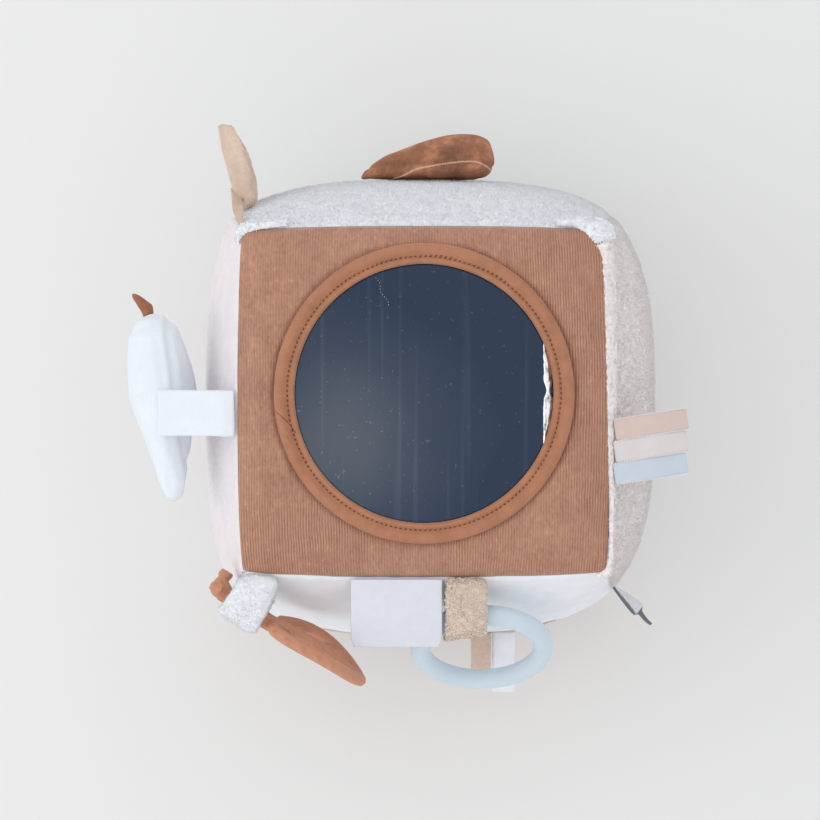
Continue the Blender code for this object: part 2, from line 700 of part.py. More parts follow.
def ring_frame():
    """Centre and axis of the teething ring, and the seam that it hangs from."""
    seam_y = block_point(0.0, -1, 1, even_inset(0.0)).y
    slope = math.radians(RING_SLOPE_DEG)
    down = Vector((0, -math.cos(slope), -math.sin(slope)))
    top = Vector((RING_CENTRE_X, seam_y - RING_TOP_OUT, SEAM_TOP - RING_TOP_DOWN))
    return top + down * RING_RADIUS, down, Vector((1, 0, 0)).cross(down), seam_y


def build_ring():
    """Pale blue teething ring and the plush loop that it turns in."""
    centre, down, axis, seam_y = ring_frame()
    rings = []
    for turn in (2 * math.pi * index / 44 for index in range(44)):
        out = math.cos(turn) * Vector((1, 0, 0)) + math.sin(turn) * down
        angles = [2 * math.pi * step / 10 for step in range(10)]
        rings.append([centre + out * (RING_RADIUS + RING_TUBE * math.cos(angle))
                      + axis * RING_TUBE * math.sin(angle) for angle in angles])
    ring = add_piece("teething_ring", *loft(rings, looped=True), "ring_silicone")

    inside = RING_TUBE + RING_EASE
    radius = inside + RING_LOOP_THICK / 2

    def path(v):
        offset = RING_LOOP_X + v * RING_LOOP_WIDTH / 2 - RING_CENTRE_X
        drop = RING_RADIUS - math.sqrt(RING_RADIUS ** 2 - offset ** 2)
        tube_centre = centre - down * (RING_RADIUS - drop)
        tube_centre.x = RING_LOOP_X
        root = Vector((RING_LOOP_X, seam_y - LOOP_ROOT_THICK, SEAM_TOP + LOOP_ROOT_THICK))
        return wrap_path(root, Vector((0, -1, 0)), tube_centre, radius, LOOP_ROOT_THICK, PATH_CELLS)

    thick = loop_thickness(len(path(0.0)), LOOP_ROOT_THICK, RING_LOOP_THICK)
    body = band(path, Vector((1, 0, 0)), RING_LOOP_WIDTH, thick, 4, LOOP_EDGE_SHARE)
    loop = add_piece("ring_loop", *body, "tan_plush")
    hinge = add_axis("ring_loop_axis", (RING_LOOP_X, seam_y, SEAM_TOP))
    spin = add_axis("ring_axis", centre)
    carry(loop, hinge)
    carry(spin, hinge)
    carry(ring, spin)


def add_axis(name, place):
    """Empty on a joint's axis, which carries what turns about it."""
    empty = bpy.data.objects.new(name, None)
    empty.location = place
    bpy.context.collection.objects.link(empty)
    return empty


def carry(piece, carrier):
    """Parent a piece to the empty on its axis, where it stands."""
    bpy.context.view_layer.update()
    piece.parent = carrier
    piece.matrix_parent_inverse = carrier.matrix_world.inverted()


def leaf_frame():
    """Directions of the leaf teether: along it, out from the block, and across its blade."""
    along = heading(STEM_TURN_DEG)
    out = heading(STEM_TURN_DEG - 90)
    lean = math.radians(LEAF_LEAN_DEG)
    across = math.cos(lean) * Vector((0, 0, 1)) + math.sin(lean) * out
    return Vector((STEM_X, STEM_Y, STEM_Z)), along, out, across


def build_leaf():
    """Silicone leaf teether: rim, midrib, veins and chewing bumps, on a forked stem through its loop."""
    stem, along, out, across = leaf_frame()

    def place(run, side):
        share = (run - BLADE_START) / (BLADE_END - BLADE_START)
        bow = BLADE_BOW * math.sin(math.pi * max(0.0, min(1.0, share)))
        return stem + along * run + across * side - out * bow

    def half_width(share):
        return BLADE_HALF * math.sin(math.pi * share ** LEAF_WIDE_POWER) ** LEAF_WIDE_POWER

    def on_blade(share, side_share=0.0):
        run = blend(BLADE_START, BLADE_END, share)
        return place(run, side_share * half_width(share))

    upper = [on_blade(share, 1.0) for share in steps(LEAF_RIM_CELLS)]
    lower = [on_blade(share, -1.0) for share in steps(LEAF_RIM_CELLS)]
    rim_path = upper + lower[-2:0:-1]
    bodies = [tube(rim_path, [RIM_RADIUS] * len(rim_path), 8, looped=True)]
    midrib = [place(FORK_START, 0.0), place(BLADE_START - STEM_RADIUS, 0.0)]
    midrib += [on_blade(share) for share in steps(6)]
    radii = [STEM_RADIUS, STEM_RADIUS] + [blend(STEM_RADIUS, MIDRIB_RADIUS, min(1.0, 3 * share))
                                          for share in steps(6)]
    bodies.append(tube(midrib, radii, 10))
    fork_lean = math.radians(FORK_LEAN_DEG)
    apart = math.cos(fork_lean) * Vector((0, 0, 1)) + math.sin(fork_lean) * out
    for side in (1.0, -1.0):
        arm = [stem + along * run + apart * side * spread - out * bow
               for run, spread, bow in ((FORK_START + FORK_RADIUS, 0.0, 0.0),
                                        ((FORK_START + FORK_END) / 2, FORK_SPREAD / 2, FORK_BOW / 2),
                                        (FORK_END + FORK_RADIUS, FORK_SPREAD, FORK_BOW),
                                        (FORK_END, FORK_SPREAD * FORK_FLARE_SHARE, FORK_BOW))]
        bodies.append(tube(arm, [FORK_RADIUS * share for share in FORK_SHARES], 8))
        for root_share in VEIN_ROOT_SHARES:
            end_share = root_share + VEIN_LEAN / (BLADE_END - BLADE_START)
            vein = [on_blade(root_share), on_blade(blend(root_share, end_share, 0.5), side * VEIN_BEND_SHARE),
                    on_blade(end_share, side)]
            bodies.append(tube(vein, [VEIN_RADIUS] * 3, 6))
    for line in (upper, lower):
        bodies += bumps_along(line[1:-1], stem, across)
    base = add_piece("leaf_teether", *bodies[0], "leaf_silicone")
    for index, body in enumerate(bodies[1:]):
        combine(base, add_cutter(f"leaf_part_{index}", *body), "UNION")
    return base


def bumps_along(line, stem, across):
    """Small chewing bumps on the outer edge of the rim, one pitch apart."""
    bumps = []
    travelled = 0.0
    due = BUMP_PITCH / 2
    for here, there in zip(line, line[1:]):
        length = (there - here).length
        while due <= travelled + length:
            spot = here.lerp(there, (due - travelled) / length)
            outward = across if (spot - stem).dot(across) > 0 else -across
            tangent = (there - here).normalized()
            outward = (outward - tangent * outward.dot(tangent)).normalized()
            middle = spot + outward * RIM_RADIUS
            rings = [[middle - outward * BUMP_RADIUS]]
            side = outward.cross(tangent)
            for level, share in BUMP_RING_SHARES:
                rings.append([middle + outward * BUMP_RADIUS * level
                              + BUMP_RADIUS * share * (math.cos(turn) * tangent + math.sin(turn) * side)
                              for turn in (math.pi / 3 * step for step in range(6))])
            rings.append([middle + outward * BUMP_RADIUS])
            bumps.append(loft(rings))
            due += BUMP_PITCH
        travelled += length
    return bumps


def build_leaf_loop():
    """White plush loop round the leaf's stem."""
    stem, along, out, across = leaf_frame()
    radius = STEM_RADIUS + STEM_EASE + LEAF_LOOP_THICK / 2

    def seam_place(v):
        x = LEAF_LOOP_SEAM_X + v * LEAF_LOOP_SEAM / 2
        seam = side_point("front", x / (SEAM_EDGE / 2), 1, even_inset(0.0))
        return Vector((x, seam.y, SEAM_TOP)) + (out + Vector((0, 0, 1))) * LEAF_LOOP_ROOT_OFF

    def path(v):
        root = seam_place(v) - along * (v * LEAF_LOOP_WIDTH / 2)
        return wrap_path(root, out, stem, radius, LOOP_ROOT_THICK, PATH_CELLS)

    root = seam_place(0.0)
    thick = loop_thickness(len(path(0.0)), LOOP_ROOT_THICK, LEAF_LOOP_THICK)
    body = band(path, along, LEAF_LOOP_WIDTH, thick, 4, LOOP_EDGE_SHARE)
    loop = add_piece("teether_loop", *body, "white_plush")
    hinge = add_axis("teether_loop_axis", root)
    roll = add_axis("leaf_axis", stem)
    carry(loop, hinge)
    carry(roll, hinge)
    carry(build_leaf(), roll)


def build_bird():
    """Stuffed bird with its beak, hanging by its back from a cotton strap."""
    turn = Matrix.Rotation(math.radians(BIRD_TURN_DEG), 3, "Z")
    forward = turn @ Vector((0, 1, 0))
    side = turn @ Vector((1, 0, 0))
    up = Vector((0, 0, 1))
    middle = Vector((BIRD_X, BIRD_Y, BIRD_BACK - BIRD_HALF_HEIGHT))
    rings = []
    for station, width, height, level in zip(BIRD_STATION_SHARES, BIRD_WIDTH_SHARES,
                                             BIRD_HEIGHT_SHARES, BIRD_LEVEL_SHARES):
        centre = middle + forward * BIRD_LENGTH * (0.5 - station) + up * BIRD_HALF_HEIGHT * level
        if width == 0:
            rings.append([centre])
            continue
        rings.append([centre + side * BIRD_HALF_WIDTH * width * math.cos(angle)
                      + up * BIRD_HALF_HEIGHT * height * math.sin(angle)
                      for angle in (2 * math.pi * step / BIRD_SIDES for step in range(BIRD_SIDES))])
    bird = add_piece("bird_body", *loft(rings), "white_cotton")
    nose = rings[0][0] + forward * CLEAR
    tip = heading(BIRD_TURN_DEG + BEAK_TURN_DEG)
    beak_rings = [[nose]]
    for share, size in BEAK_STATION_SHARES:
        middle_ring = nose + tip * BEAK_LENGTH * share
        across = tip.cross(up).normalized()
        angles = [math.pi / 4 * step for step in range(8)]
        beak_rings.append([middle_ring + (across * math.cos(angle) + up * math.sin(angle)) * BEAK_RADIUS * size
                           for angle in angles])
    beak_rings.append([nose + tip * BEAK_LENGTH])
    beak = add_piece("bird_beak", *loft(beak_rings), "brown_velour")

    seam = side_point("left", STRAP_Y / (SEAM_EDGE / 2), 1, even_inset(0.0))
    strap_level = BIRD_BACK + CLEAR + STRAP_THICK / 2

    def path(v):
        line = []
        for share in steps(STRAP_CELLS):
            x = blend(seam.x - CLEAR - STRAP_THICK / 4, BIRD_X, share)
            z = blend(SEAM_TOP, strap_level, math.sin(share * math.pi / 2))
            line.append(Vector((x, STRAP_Y, z + STRAP_SAG * math.sin(math.pi * share))))
        return line

    thick = [STRAP_THICK / 2] + [STRAP_THICK] * STRAP_CELLS
    strap = add_piece("bird_strap", *band(path, Vector((0, 1, 0)), STRAP_WIDTH, thick, 2, STRAP_EDGE_SHARE),
                      "white_cotton")
    hinge = add_axis("strap_axis", (seam.x, STRAP_Y, SEAM_TOP))
    swing = add_axis("bird_axis", (BIRD_X, STRAP_Y, BIRD_BACK))
    carry(strap, hinge)
    carry(swing, hinge)
    carry(bird, swing)
    carry(beak, swing)


def fold_path(root, out, reach, drop, gap):
    """Two plies of a folded ribbon: out of the seam along the top, round the fold and back under."""
    up = Vector((0, 0, 1))

    def sagged(share):
        return root + out * reach * share - up * drop * share * share

    run = [share * (1 - gap / reach) for share in steps(7)]
    top = [sagged(share) + up * gap / 2 for share in run]
    low = [sagged(share) - up * gap / 2 for share in reversed(run)]
    end = sagged(1.0)
    turn = [end + (out * math.cos(angle) + up * math.sin(angle)) * gap / 2 - out * gap / 2
            for angle in (math.radians(degree) for degree in (45, 0, -45))]
    return top + turn + low


def build_folded(name, root, out, size, material, axis_name):
    """Folded ribbon or label of (width, reach, drop, ply), hinged where it is sewn in."""
    width, reach, drop, ply = size
    across = Vector((0, 0, 1)).cross(out).normalized()
    start = root + out * (CLEAR + ply)
    line = fold_path(start, out, reach, drop, LABEL_OPEN + ply)
    points, faces = band(lambda v: line, across, width, [ply] * len(line))
    piece = add_piece(name, points, faces, material)
    carry(piece, add_axis(axis_name, root))


def build_label_and_ribbons():
    """Bare care label on the front seam, three ribbons on the right seam."""
    label_root = side_point("front", LABEL_X / (SEAM_EDGE / 2), 1, even_inset(0.0))
    build_folded("care_label", Vector((LABEL_X, label_root.y, SEAM_TOP)), Vector((0, -1, 0)),
                 (LABEL_WIDTH, LABEL_REACH, LABEL_DROP, LABEL_PLY), "satin_white", "label_axis")
    out = heading(RIBBON_TURN_DEG)
    for index, name in enumerate(("ribbon_beige", "ribbon_pink", "ribbon_blue")):
        y = RIBBON_Y + (1 - index) * (RIBBON_WIDTH + RIBBON_GAP)
        seam = side_point("right", y / (SEAM_EDGE / 2), 1, even_inset(0.0))
        root = Vector((seam.x + RIBBON_WIDTH / 2 * math.sin(math.radians(RIBBON_TURN_DEG)), y, SEAM_TOP))
        build_folded(name, root, out, (RIBBON_WIDTH, RIBBON_REACH, RIBBON_DROP, RIBBON_PLY), name,
                     f"{name}_axis")


def build_corner_ribbon():
    """Narrow ribbon in the front right seam, twisted, with a thin curled tail."""
    share = (CORNER_RIBBON_Z - BLOCK_MIDDLE) / (SEAM_EDGE / 2)
    seam = block_point(1, -1, share, even_inset(0.0))
    out = heading(CORNER_RIBBON_TURN_DEG)
    side = out.cross(Vector((0, 0, 1)))
    start = seam + out * (CLEAR + CORNER_RIBBON_PLY)

    def place(step, v, face):
        run = CORNER_RIBBON_REACH * min(1.0, step) + CORNER_TAIL_REACH * max(0.0, step - 1)
        drop = CORNER_TAIL_DROP * max(0.0, step - 1) ** 2
        twist = math.radians(CORNER_RIBBON_TWIST_DEG) * min(1.0, step)
        across = math.cos(twist) * Vector((0, 0, 1)) + math.sin(twist) * side
        normal = across.cross(out)
        tail_share = 1 if step < 1 else blend(*CORNER_TAIL_SHARES, step - 1)
        half = CORNER_RIBBON_WIDTH / 2 * tail_share
        middle = start + out * run - side * drop
        return middle + across * v * half + normal * face * CORNER_RIBBON_PLY / 2

    points, faces = slab(lambda u, v: place(u, v, 1), lambda u, v: place(u, v, -1),
                         CORNER_STEP_SHARES, [-1.0, 1.0])
    ribbon = add_piece("corner_ribbon", points, faces, "grey_satin")
    carry(ribbon, add_axis("corner_ribbon_axis", seam))


def build_tab(name, x, size, material, lift):
    """Short tab sewn into the front cross seam, lifted by a share of its thickness."""
    width, reach, thick = size
    edges = [side_point("front", (x + side * width / 2) / (SEAM_EDGE / 2 + CORNER_BOW), 0, even_inset(0.0))
             for side in (-1, 0, 1)]
    level = BLOCK_MIDDLE + lift
    start = Vector((x, min(edge.y for edge in edges) - TAB_STAND_OFF, level))

    def path(v):
        return [start + Vector((0, -reach * share, -TAB_DROP * share * share)) for share in steps(6)]

    thicks = [thick * TAB_ROOT_SHARE] + [thick] * 5 + [thick * TAB_END_SHARE]
    points, faces = band(path, Vector((1, 0, 0)), width, thicks, 2, STRAP_EDGE_SHARE)
    piece = add_piece(name, points, faces, material)
    carry(piece, add_axis(f"{name}_axis", start))


def build_ear():
    """Cupped velour ear, pleated where it is sewn into the back left seam."""
    share = (EAR_Z - EAR_HALF_HEIGHT * EAR_ROOT_SHARE - BLOCK_MIDDLE) / (SEAM_EDGE / 2)
    seam = block_point(-1, 1, share, even_inset(0.0))
    seam.z = EAR_Z
    out = heading(EAR_TURN_DEG)
    side = out.cross(Vector((0, 0, 1)))
    start = seam + out * EAR_STAND_OFF + side * EAR_SHIFT

    def place(run, v, face):
        spread = blend(EAR_ROOT_SHARE, 1, math.sin(math.pi / 2 * min(1, run / EAR_WIDE_SHARE)))
        if run > EAR_WIDE_SHARE:
            spread = math.sqrt(max(0, 1 - ((run - EAR_WIDE_SHARE) / EAR_TIP_SHARE) ** 2))
        height = EAR_HALF_HEIGHT * spread * v
        cup = EAR_CUP * v * v * max(0, math.sin(math.pi * run)) ** EAR_CUP_POWER
        thick = blend(EAR_THICK, EAR_EDGE_THICK, v * v)
        thick *= blend(EAR_PLEAT_SHARE, 1, min(1, run / EAR_SWELL_SHARE))
        thick *= blend(1, EAR_TIP_THICK_SHARE, max(0, run - EAR_THIN_SHARE) / (1 - EAR_THIN_SHARE))
        return start + out * EAR_LENGTH * run + Vector((0, 0, height)) + side * (cup + face * thick / 2)

    points, faces = slab(lambda u, v: place(u, v, 1), lambda u, v: place(u, v, -1),
                         steps(12), steps(10, -1.0, 1.0))
    ear = add_piece("ear", points, faces, "tan_velour")
    carry(ear, add_axis("ear_axis", seam))


def build_pad():
    """Plump velour leaf, hanging against the back face from its stitched top edge."""
    def outline(u):
        return max(0, math.sin(math.pi * ((1 + u) / 2) ** PAD_POINT_POWER)) ** PAD_FULL_POWER

    def place(u, v, outside):
        half = PAD_HEIGHT / 2 * blend(PAD_TIP_SHARE, 1, outline(u))
        x = PAD_X + u * PAD_LENGTH / 2
        z = PAD_TOP_Z - PAD_HEIGHT / 2 + v * half
        rest = side_point("back", x / (SEAM_EDGE / 2 + CORNER_BOW), (z - BLOCK_MIDDLE) / (SEAM_EDGE / 2),
                          even_inset(0.0)).y
        swell = outline(u) ** PAD_SWELL_POWER * math.sqrt(max(0, 1 - v * v))
        tilt = PAD_TILT * (1 + u) / 2
        near = rest + CLEAR * 2 + tilt * (1 - swell)
        return Vector((x, near + outside * (PAD_EDGE_THICK + (tilt + PAD_THICK) * swell), z))

    points, faces = slab(lambda u, v: place(u, v, 1), lambda u, v: place(u, v, 0),
                         seam_steps(16), [math.sin(share * math.pi / 2) for share in steps(10, -1.0, 1.0)])
    pad = add_piece("velour_leaf", points, faces, "brown_velour")
    rest = side_point("back", 0.0, (PAD_TOP_Z - BLOCK_MIDDLE) / (SEAM_EDGE / 2), even_inset(0.0)).y
    carry(pad, add_axis("velour_leaf_axis", (PAD_X, rest, PAD_TOP_Z)))


def build_cover():
    """The sewn cover: four sides, the front in two, and the base."""
    build_mirror_panel()
    build_panel("right_panel", "right", "pink_plush")
    build_panel("left_panel", "left", "pale_muslin")
    build_panel("back_panel", "back", "white_plush")
    build_panel("front_upper_panel", "front", "white_cotton", low=0.0)
    build_panel("front_lower_panel", "front", "clay_muslin", high=0.0)
    build_panel("base_panel", "base", "base_knit")


def main():
    """Build the whole block."""
    clear_scene()
    build_cover()
    build_binding()
    film_low = FILM_TOP - FILM_THICK
    build_disc("mirror_film", WINDOW_RADIUS + FILM_MARGIN, film_low, FILM_TOP, "mirror_film")
    build_disc("mirror_backing", WINDOW_RADIUS + BACKING_MARGIN, BACKING_LOW, BACKING_TOP, "backing_foam")
    build_stuffing_pair()
    build_rattle()
    build_ring()
    build_leaf_loop()
    build_bird()
    build_label_and_ribbons()
    build_corner_ribbon()
    build_tab("front_tab", TAB_X, (TAB_WIDTH, TAB_REACH, TAB_THICK), "tan_velour", TAB_THICK / 2)
    build_tab("front_tag", TAG_X, (TAG_WIDTH, TAG_REACH, TAG_THICK), "white_cotton", -TAG_THICK / 2)
    build_ear()
    build_pad()


main()
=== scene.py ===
"""Looks of a soft activity block, modelled round its fixed frame of solids.

Metres, +Z up out of the mirror. The file is laid out as an add-on and run as a script: main()
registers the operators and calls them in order.
"""

import json
import math

import bmesh
import bpy
import numpy as np
from bpy.props import FloatProperty, FloatVectorProperty, IntProperty, PointerProperty
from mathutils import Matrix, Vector, noise
from mathutils.bvhtree import BVHTree


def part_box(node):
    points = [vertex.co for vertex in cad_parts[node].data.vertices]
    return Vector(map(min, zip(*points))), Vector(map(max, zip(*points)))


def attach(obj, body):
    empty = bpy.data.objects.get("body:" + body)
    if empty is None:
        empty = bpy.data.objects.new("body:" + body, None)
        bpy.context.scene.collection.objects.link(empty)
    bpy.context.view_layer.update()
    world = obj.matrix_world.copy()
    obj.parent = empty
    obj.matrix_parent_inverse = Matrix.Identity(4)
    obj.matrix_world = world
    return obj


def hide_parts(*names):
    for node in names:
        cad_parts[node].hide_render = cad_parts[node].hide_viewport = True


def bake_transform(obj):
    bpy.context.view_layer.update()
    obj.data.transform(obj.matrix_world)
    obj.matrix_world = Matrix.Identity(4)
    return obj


bl_info = {
    "name": "Soft Activity Block",
    "version": (1, 0, 0),
    "blender": (4, 5, 0),
    "location": "View3D > Sidebar > Soft Block",
    "description": "Knit, plush, cotton, satin and silicone for a stuffed activity block",
    "category": "Object",
}

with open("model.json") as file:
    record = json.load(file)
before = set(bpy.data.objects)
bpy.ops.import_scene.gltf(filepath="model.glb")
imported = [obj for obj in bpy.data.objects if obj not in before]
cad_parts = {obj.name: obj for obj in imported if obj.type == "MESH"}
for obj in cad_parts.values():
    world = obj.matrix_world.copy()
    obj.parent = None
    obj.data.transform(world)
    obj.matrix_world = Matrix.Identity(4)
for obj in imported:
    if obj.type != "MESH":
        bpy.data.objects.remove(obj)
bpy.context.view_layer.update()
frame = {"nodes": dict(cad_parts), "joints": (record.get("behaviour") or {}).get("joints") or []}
NODES = frame["nodes"]
JOINTS = {joint["name"]: joint for joint in frame["joints"]}
UP = Vector((0.0, 0.0, 1.0))
FRONT = Vector((0.0, -1.0, 0.0))
WHITE = (1.0, 1.0, 1.0)
# Axis and sign of each side of the cover
SIDES = {"right": (0, 1), "left": (0, -1), "back": (1, 1), "front": (1, -1), "base": (2, -1)}
# Frames that the cloth is given to fill out, and how far a panel may move in them
CLOTH_FRAMES = 20
PANEL_GIVE = 0.0016
# Seed of the plush's tufts, the same in each run
TUFT_SEED = 1
# Fine crinkles of both muslins
MUSLIN = {"depth": 0.00016, "scale": 0.0028, "stretch": (1.0, 1.0, 0.28)}
# Tape round the mirror: its width, how far the knit goes under it, and its puckers
TAPE_WIDTH = 0.0083
TAPE_OVERLAP = 0.0040
TAPE_PUCKERS = 86
# Ends of the tape's sewn join and of the scratch on the film
TAPE_JOIN = ((-0.0599, -0.0040, 0.0), (-0.0519, -0.0123, 0.0))
SCRATCH = ((-0.0195, 0.0501, 0.0), (-0.0146, 0.0392, 0.0))
# Outer edge of the ear, and the ridge of the velour leaf's seam as seen from above
EAR_EDGE = ((-0.0735, 0.0712, 0.1510), (-0.0772, 0.0754, 0.1400), (-0.0800, 0.0806, 0.1280),
            (-0.0815, 0.0870, 0.1160), (-0.0826, 0.0915, 0.1080))
LEAF_SEAM = ((-0.0270, 0.0967, 0), (-0.0100, 0.0980, 0), (-0.0006, 0.1009, 0), (0.0207, 0.1035, 0),
             (0.0292, 0.1009, 0))
# Edge of the knit that shows, and the line that the plush spills over it from: x, y, x, y
BACK_LEFT_EDGE = ((-0.0753, 0.0640, -0.0761, 0.0640), (-0.0746, 0.0662, -0.0768, 0.0674),
                  (-0.0725, 0.0680, -0.0762, 0.0714), (-0.0690, 0.0695, -0.0708, 0.0738),
                  (-0.0629, 0.0706, -0.0630, 0.0744), (-0.0560, 0.0714, -0.0560, 0.0744))
BACK_RIGHT_EDGE = ((0.0540, 0.0716, 0.0540, 0.0746), (0.0600, 0.0711, 0.0605, 0.0754),
                   (0.0632, 0.0700, 0.0670, 0.0756), (0.0656, 0.0681, 0.0724, 0.0748),
                   (0.0683, 0.0653, 0.0768, 0.0720), (0.0704, 0.0626, 0.0780, 0.0668))
RIGHT_EDGE = ((0.0694, 0.0642, 0.0766, 0.0672), (0.0711, 0.0612, 0.0775, 0.0620),
              (0.0722, 0.0570, 0.0780, 0.0560), (0.0728, 0.0420, 0.0784, 0.0420),
              (0.0730, 0.0280, 0.0786, 0.0280), (0.0733, 0.0140, 0.0786, 0.0140),
              (0.0738, 0.0000, 0.0786, 0.0000), (0.0742, -0.0140, 0.0786, -0.0140),
              (0.0748, -0.0280, 0.0784, -0.0280), (0.0752, -0.0420, 0.0780, -0.0420),
              (0.0752, -0.0560, 0.0776, -0.0560), (0.0748, -0.0640, 0.0774, -0.0650),
              (0.0732, -0.0682, 0.0764, -0.0706), (0.0700, -0.0702, 0.0712, -0.0728))


def tone(red, green, blue):
    """Scene colour of a colour written in display values from 0 to 255."""
    shares = [value / 255 for value in (red, green, blue)]
    return tuple(share / 12.92 if share <= 0.04045 else ((share + 0.055) / 1.055) ** 2.4
                 for share in shares)


def length(label, text, default):
    """Property that holds a length."""
    return FloatProperty(name=label, description=text, default=default, min=0.0, precision=4,
                         unit="LENGTH")


def share(label, text, default):
    """Property that holds a share of something else."""
    return FloatProperty(name=label, description=text, default=default, subtype="FACTOR")


def angle(label, text, degrees):
    """Property that holds an angle."""
    return FloatProperty(name=label, description=text, default=math.radians(degrees),
                         subtype="ANGLE", unit="ROTATION")


def dye(label, text, red, green, blue):
    """Property that holds a colour."""
    return FloatVectorProperty(name=label, description=text, default=tone(red, green, blue),
                               subtype="COLOR", size=3, min=0.0, max=1.0)


class CoverSizes(bpy.types.PropertyGroup):
    """Form of the sewn cover, as the frame's panels have it."""
    seam_edge: length("Seam edge", "Seam to seam along each edge of the cube", 0.150)
    corner_bow: length("Corner bow", "How far the upright seams bow out at half height", 0.012)
    top_bow: length("Top bow", "How far the seams round the top bow out in the middle", 0.0010)
    base_bow: length("Base bow", "How far the seams round the base bow out in the middle", 0.0025)
    corner_pull: length("Corner pull", "How far the upright seams are drawn in at half height", 0.005)
    end_pull: length("End pull", "How far they are drawn in at their ends", 0.0010)
    top_draw: length("Top draw", "How far the front and back top seams are drawn together", 0.0045)
    crown_left: length("Left crown", "Crown of the muslin side", 0.0065)
    crown_right: length("Right crown", "Crown of the pink plush side", 0.0125)
    crown_back: length("Back crown", "Crown of the white plush side", 0.0085)
    crown_front: length("Front crown", "Crown of the cotton side", 0.0125)
    crown_top: length("Top crown", "Crown of the top, which the mirror cuts off flat", 0.018)
    top_rise: length("Top rise", "Flat of the top above its seams", 0.0055)
    base_drop: length("Base drop", "Flat of the base below its seams", 0.0075)
    seam_roll: length("Seam roll", "Cloth rolls under over this width beside a seam", 0.0026)
    seam_sink: length("Seam sink", "A seam lies this far under the cloth beside it", 0.0013)
    cloth: length("Cloth", "Thickness of the cover's cloth", 0.0009)


class KnitSizes(bpy.types.PropertyGroup):
    """Rib-knit top and the tape round the mirror."""
    rib_pitch: length("Rib pitch", "Distance from rib to rib", 0.0011)
    rib_depth: length("Rib depth", "Height of a rib above its valley", 0.00028)
    stitch_pitch: length("Knit stitch", "Height of one knitted stitch", 0.0010)
    wave: length("Wave", "Height of the gentle unevenness of the stretched knit", 0.00035)
    tape_bulge: length("Tape bulge", "How far the rolled tape stands over the knit", 0.0020)
    seam_inset: length("Seam inset", "Stitch line, in from the tape's inner edge", 0.0030)
    thread: length("Thread", "Thickness of the sewing thread", 0.00050)
    thread_pitch: length("Thread pitch", "Distance from stitch to stitch", 0.0020)
    join_turn: angle("Tape join", "Where the tape's ends meet, turned from +X", 190.0)


class PileSizes(bpy.types.PropertyGroup):
    """Pile of the plush and velour pieces."""
    white: length("White pile", "Length of the white plush side's pile", 0.0014)
    pink: length("Pink pile", "Length of the pink plush side's pile", 0.0017)
    loop: length("Loop pile", "Length of the pile on the white loop", 0.0012)
    collar: length("Collar", "How far the plush stands over the edge of the knit", 0.0011)
    curl: length("Curl", "Width of a curl on the tan plush loop", 0.0015)
    wool: length("Wool", "Thickness of the curled wool", 0.00020)
    strand: length("Strand", "Thickness of a strand of pile at its root", 0.00015)
    count: IntProperty(name="Strands", description="Strands on each plush side", default=60000, min=100)
    patch: FloatProperty(name="Patch", description="Area that so many strands cover", default=0.025,
                         precision=4)
    spread: share("Spread", "How far the strands lean away from upright", 1.0)


class Colours(bpy.types.PropertyGroup):
    """Colours of the cloth and silicone."""
    knit: dye("Knit", "Brown rib knit", 184, 138, 115)
    tape: dye("Tape", "Brown jersey tape", 177, 121, 91)
    thread: dye("Thread", "Dark brown sewing thread", 112, 64, 32)
    white_plush: dye("White plush", "Cool white plush", 248, 251, 255)
    pink_plush: dye("Pink plush", "Pale pink plush", 252, 245, 243)
    muslin: dye("Muslin", "Very pale pinkish muslin", 238, 231, 234)
    cotton: dye("Cotton", "White cotton", 242, 244, 249)
    clay: dye("Clay muslin", "Pinkish brown muslin", 190, 160, 148)
    hem: dye("Hem", "Rolled hem of the clay muslin", 208, 182, 170)
    tan_plush: dye("Tan plush", "Curly tan plush", 248, 230, 214)
    tan_velour: dye("Tan velour", "Tan velour", 216, 193, 176)
    brown_velour: dye("Brown velour", "Brown velour", 160, 108, 80)
    leaf: dye("Leaf", "Terracotta silicone", 197, 138, 108)
    ring: dye("Ring", "Pale blue silicone", 206, 221, 231)
    label: dye("Label", "White satin label", 222, 224, 234)
    beige: dye("Beige ribbon", "Beige-pink satin", 216, 195, 187)
    pink: dye("Pink ribbon", "Pinkish white satin", 221, 214, 214)
    blue: dye("Blue ribbon", "Light blue satin", 202, 212, 224)
    grey: dye("Grey ribbon", "Pale grey satin", 208, 211, 216)


class StageSizes(bpy.types.PropertyGroup):
    """Floor, lamps and camera."""
    eye_x: FloatProperty(name="Eye X", description="Camera's place along X", default=-0.0057,
                         unit="LENGTH")
    eye_y: FloatProperty(name="Eye Y", description="Camera's place along Y", default=-0.0034,
                         unit="LENGTH")
    eye_height: length("Eye height", "Camera above the mirror", 0.900)
    view_width: length("View width", "Width of the picture at the mirror's level", 0.3324)
    floor: length("Floor", "Width of the floor", 6.0)
    floor_colour: dye("Floor colour", "Pale grey floor", 233, 233, 232)
    key_turn: angle("Key turn", "Where the key light comes from, turned from +X", 181.0)
    key_rise: angle("Key rise", "How high the key light stands over the block", 38.0)
    key_away: length("Key distance", "From the block's middle to the key light", 1.2)
    key_width: length("Key width", "Width of the soft box, which softens its shadow", 0.95)
    key_power: FloatProperty(name="Key power", description="Power of the key light", default=2.4, min=0.0,
                             unit="POWER")
    fill_strength: FloatProperty(name="Fill strength", description="Light from all round",
                                 default=0.955)


class SoftBlock(bpy.types.PropertyGroup):
    """All that a user can set."""
    cover: PointerProperty(type=CoverSizes)
    knit: PointerProperty(type=KnitSizes)
    pile: PointerProperty(type=PileSizes)
    colours: PointerProperty(type=Colours)
    stage: PointerProperty(type=StageSizes)


# Meshes


def blend(low, high, part):
    """Value between low and high."""
    return low + (high - low) * part


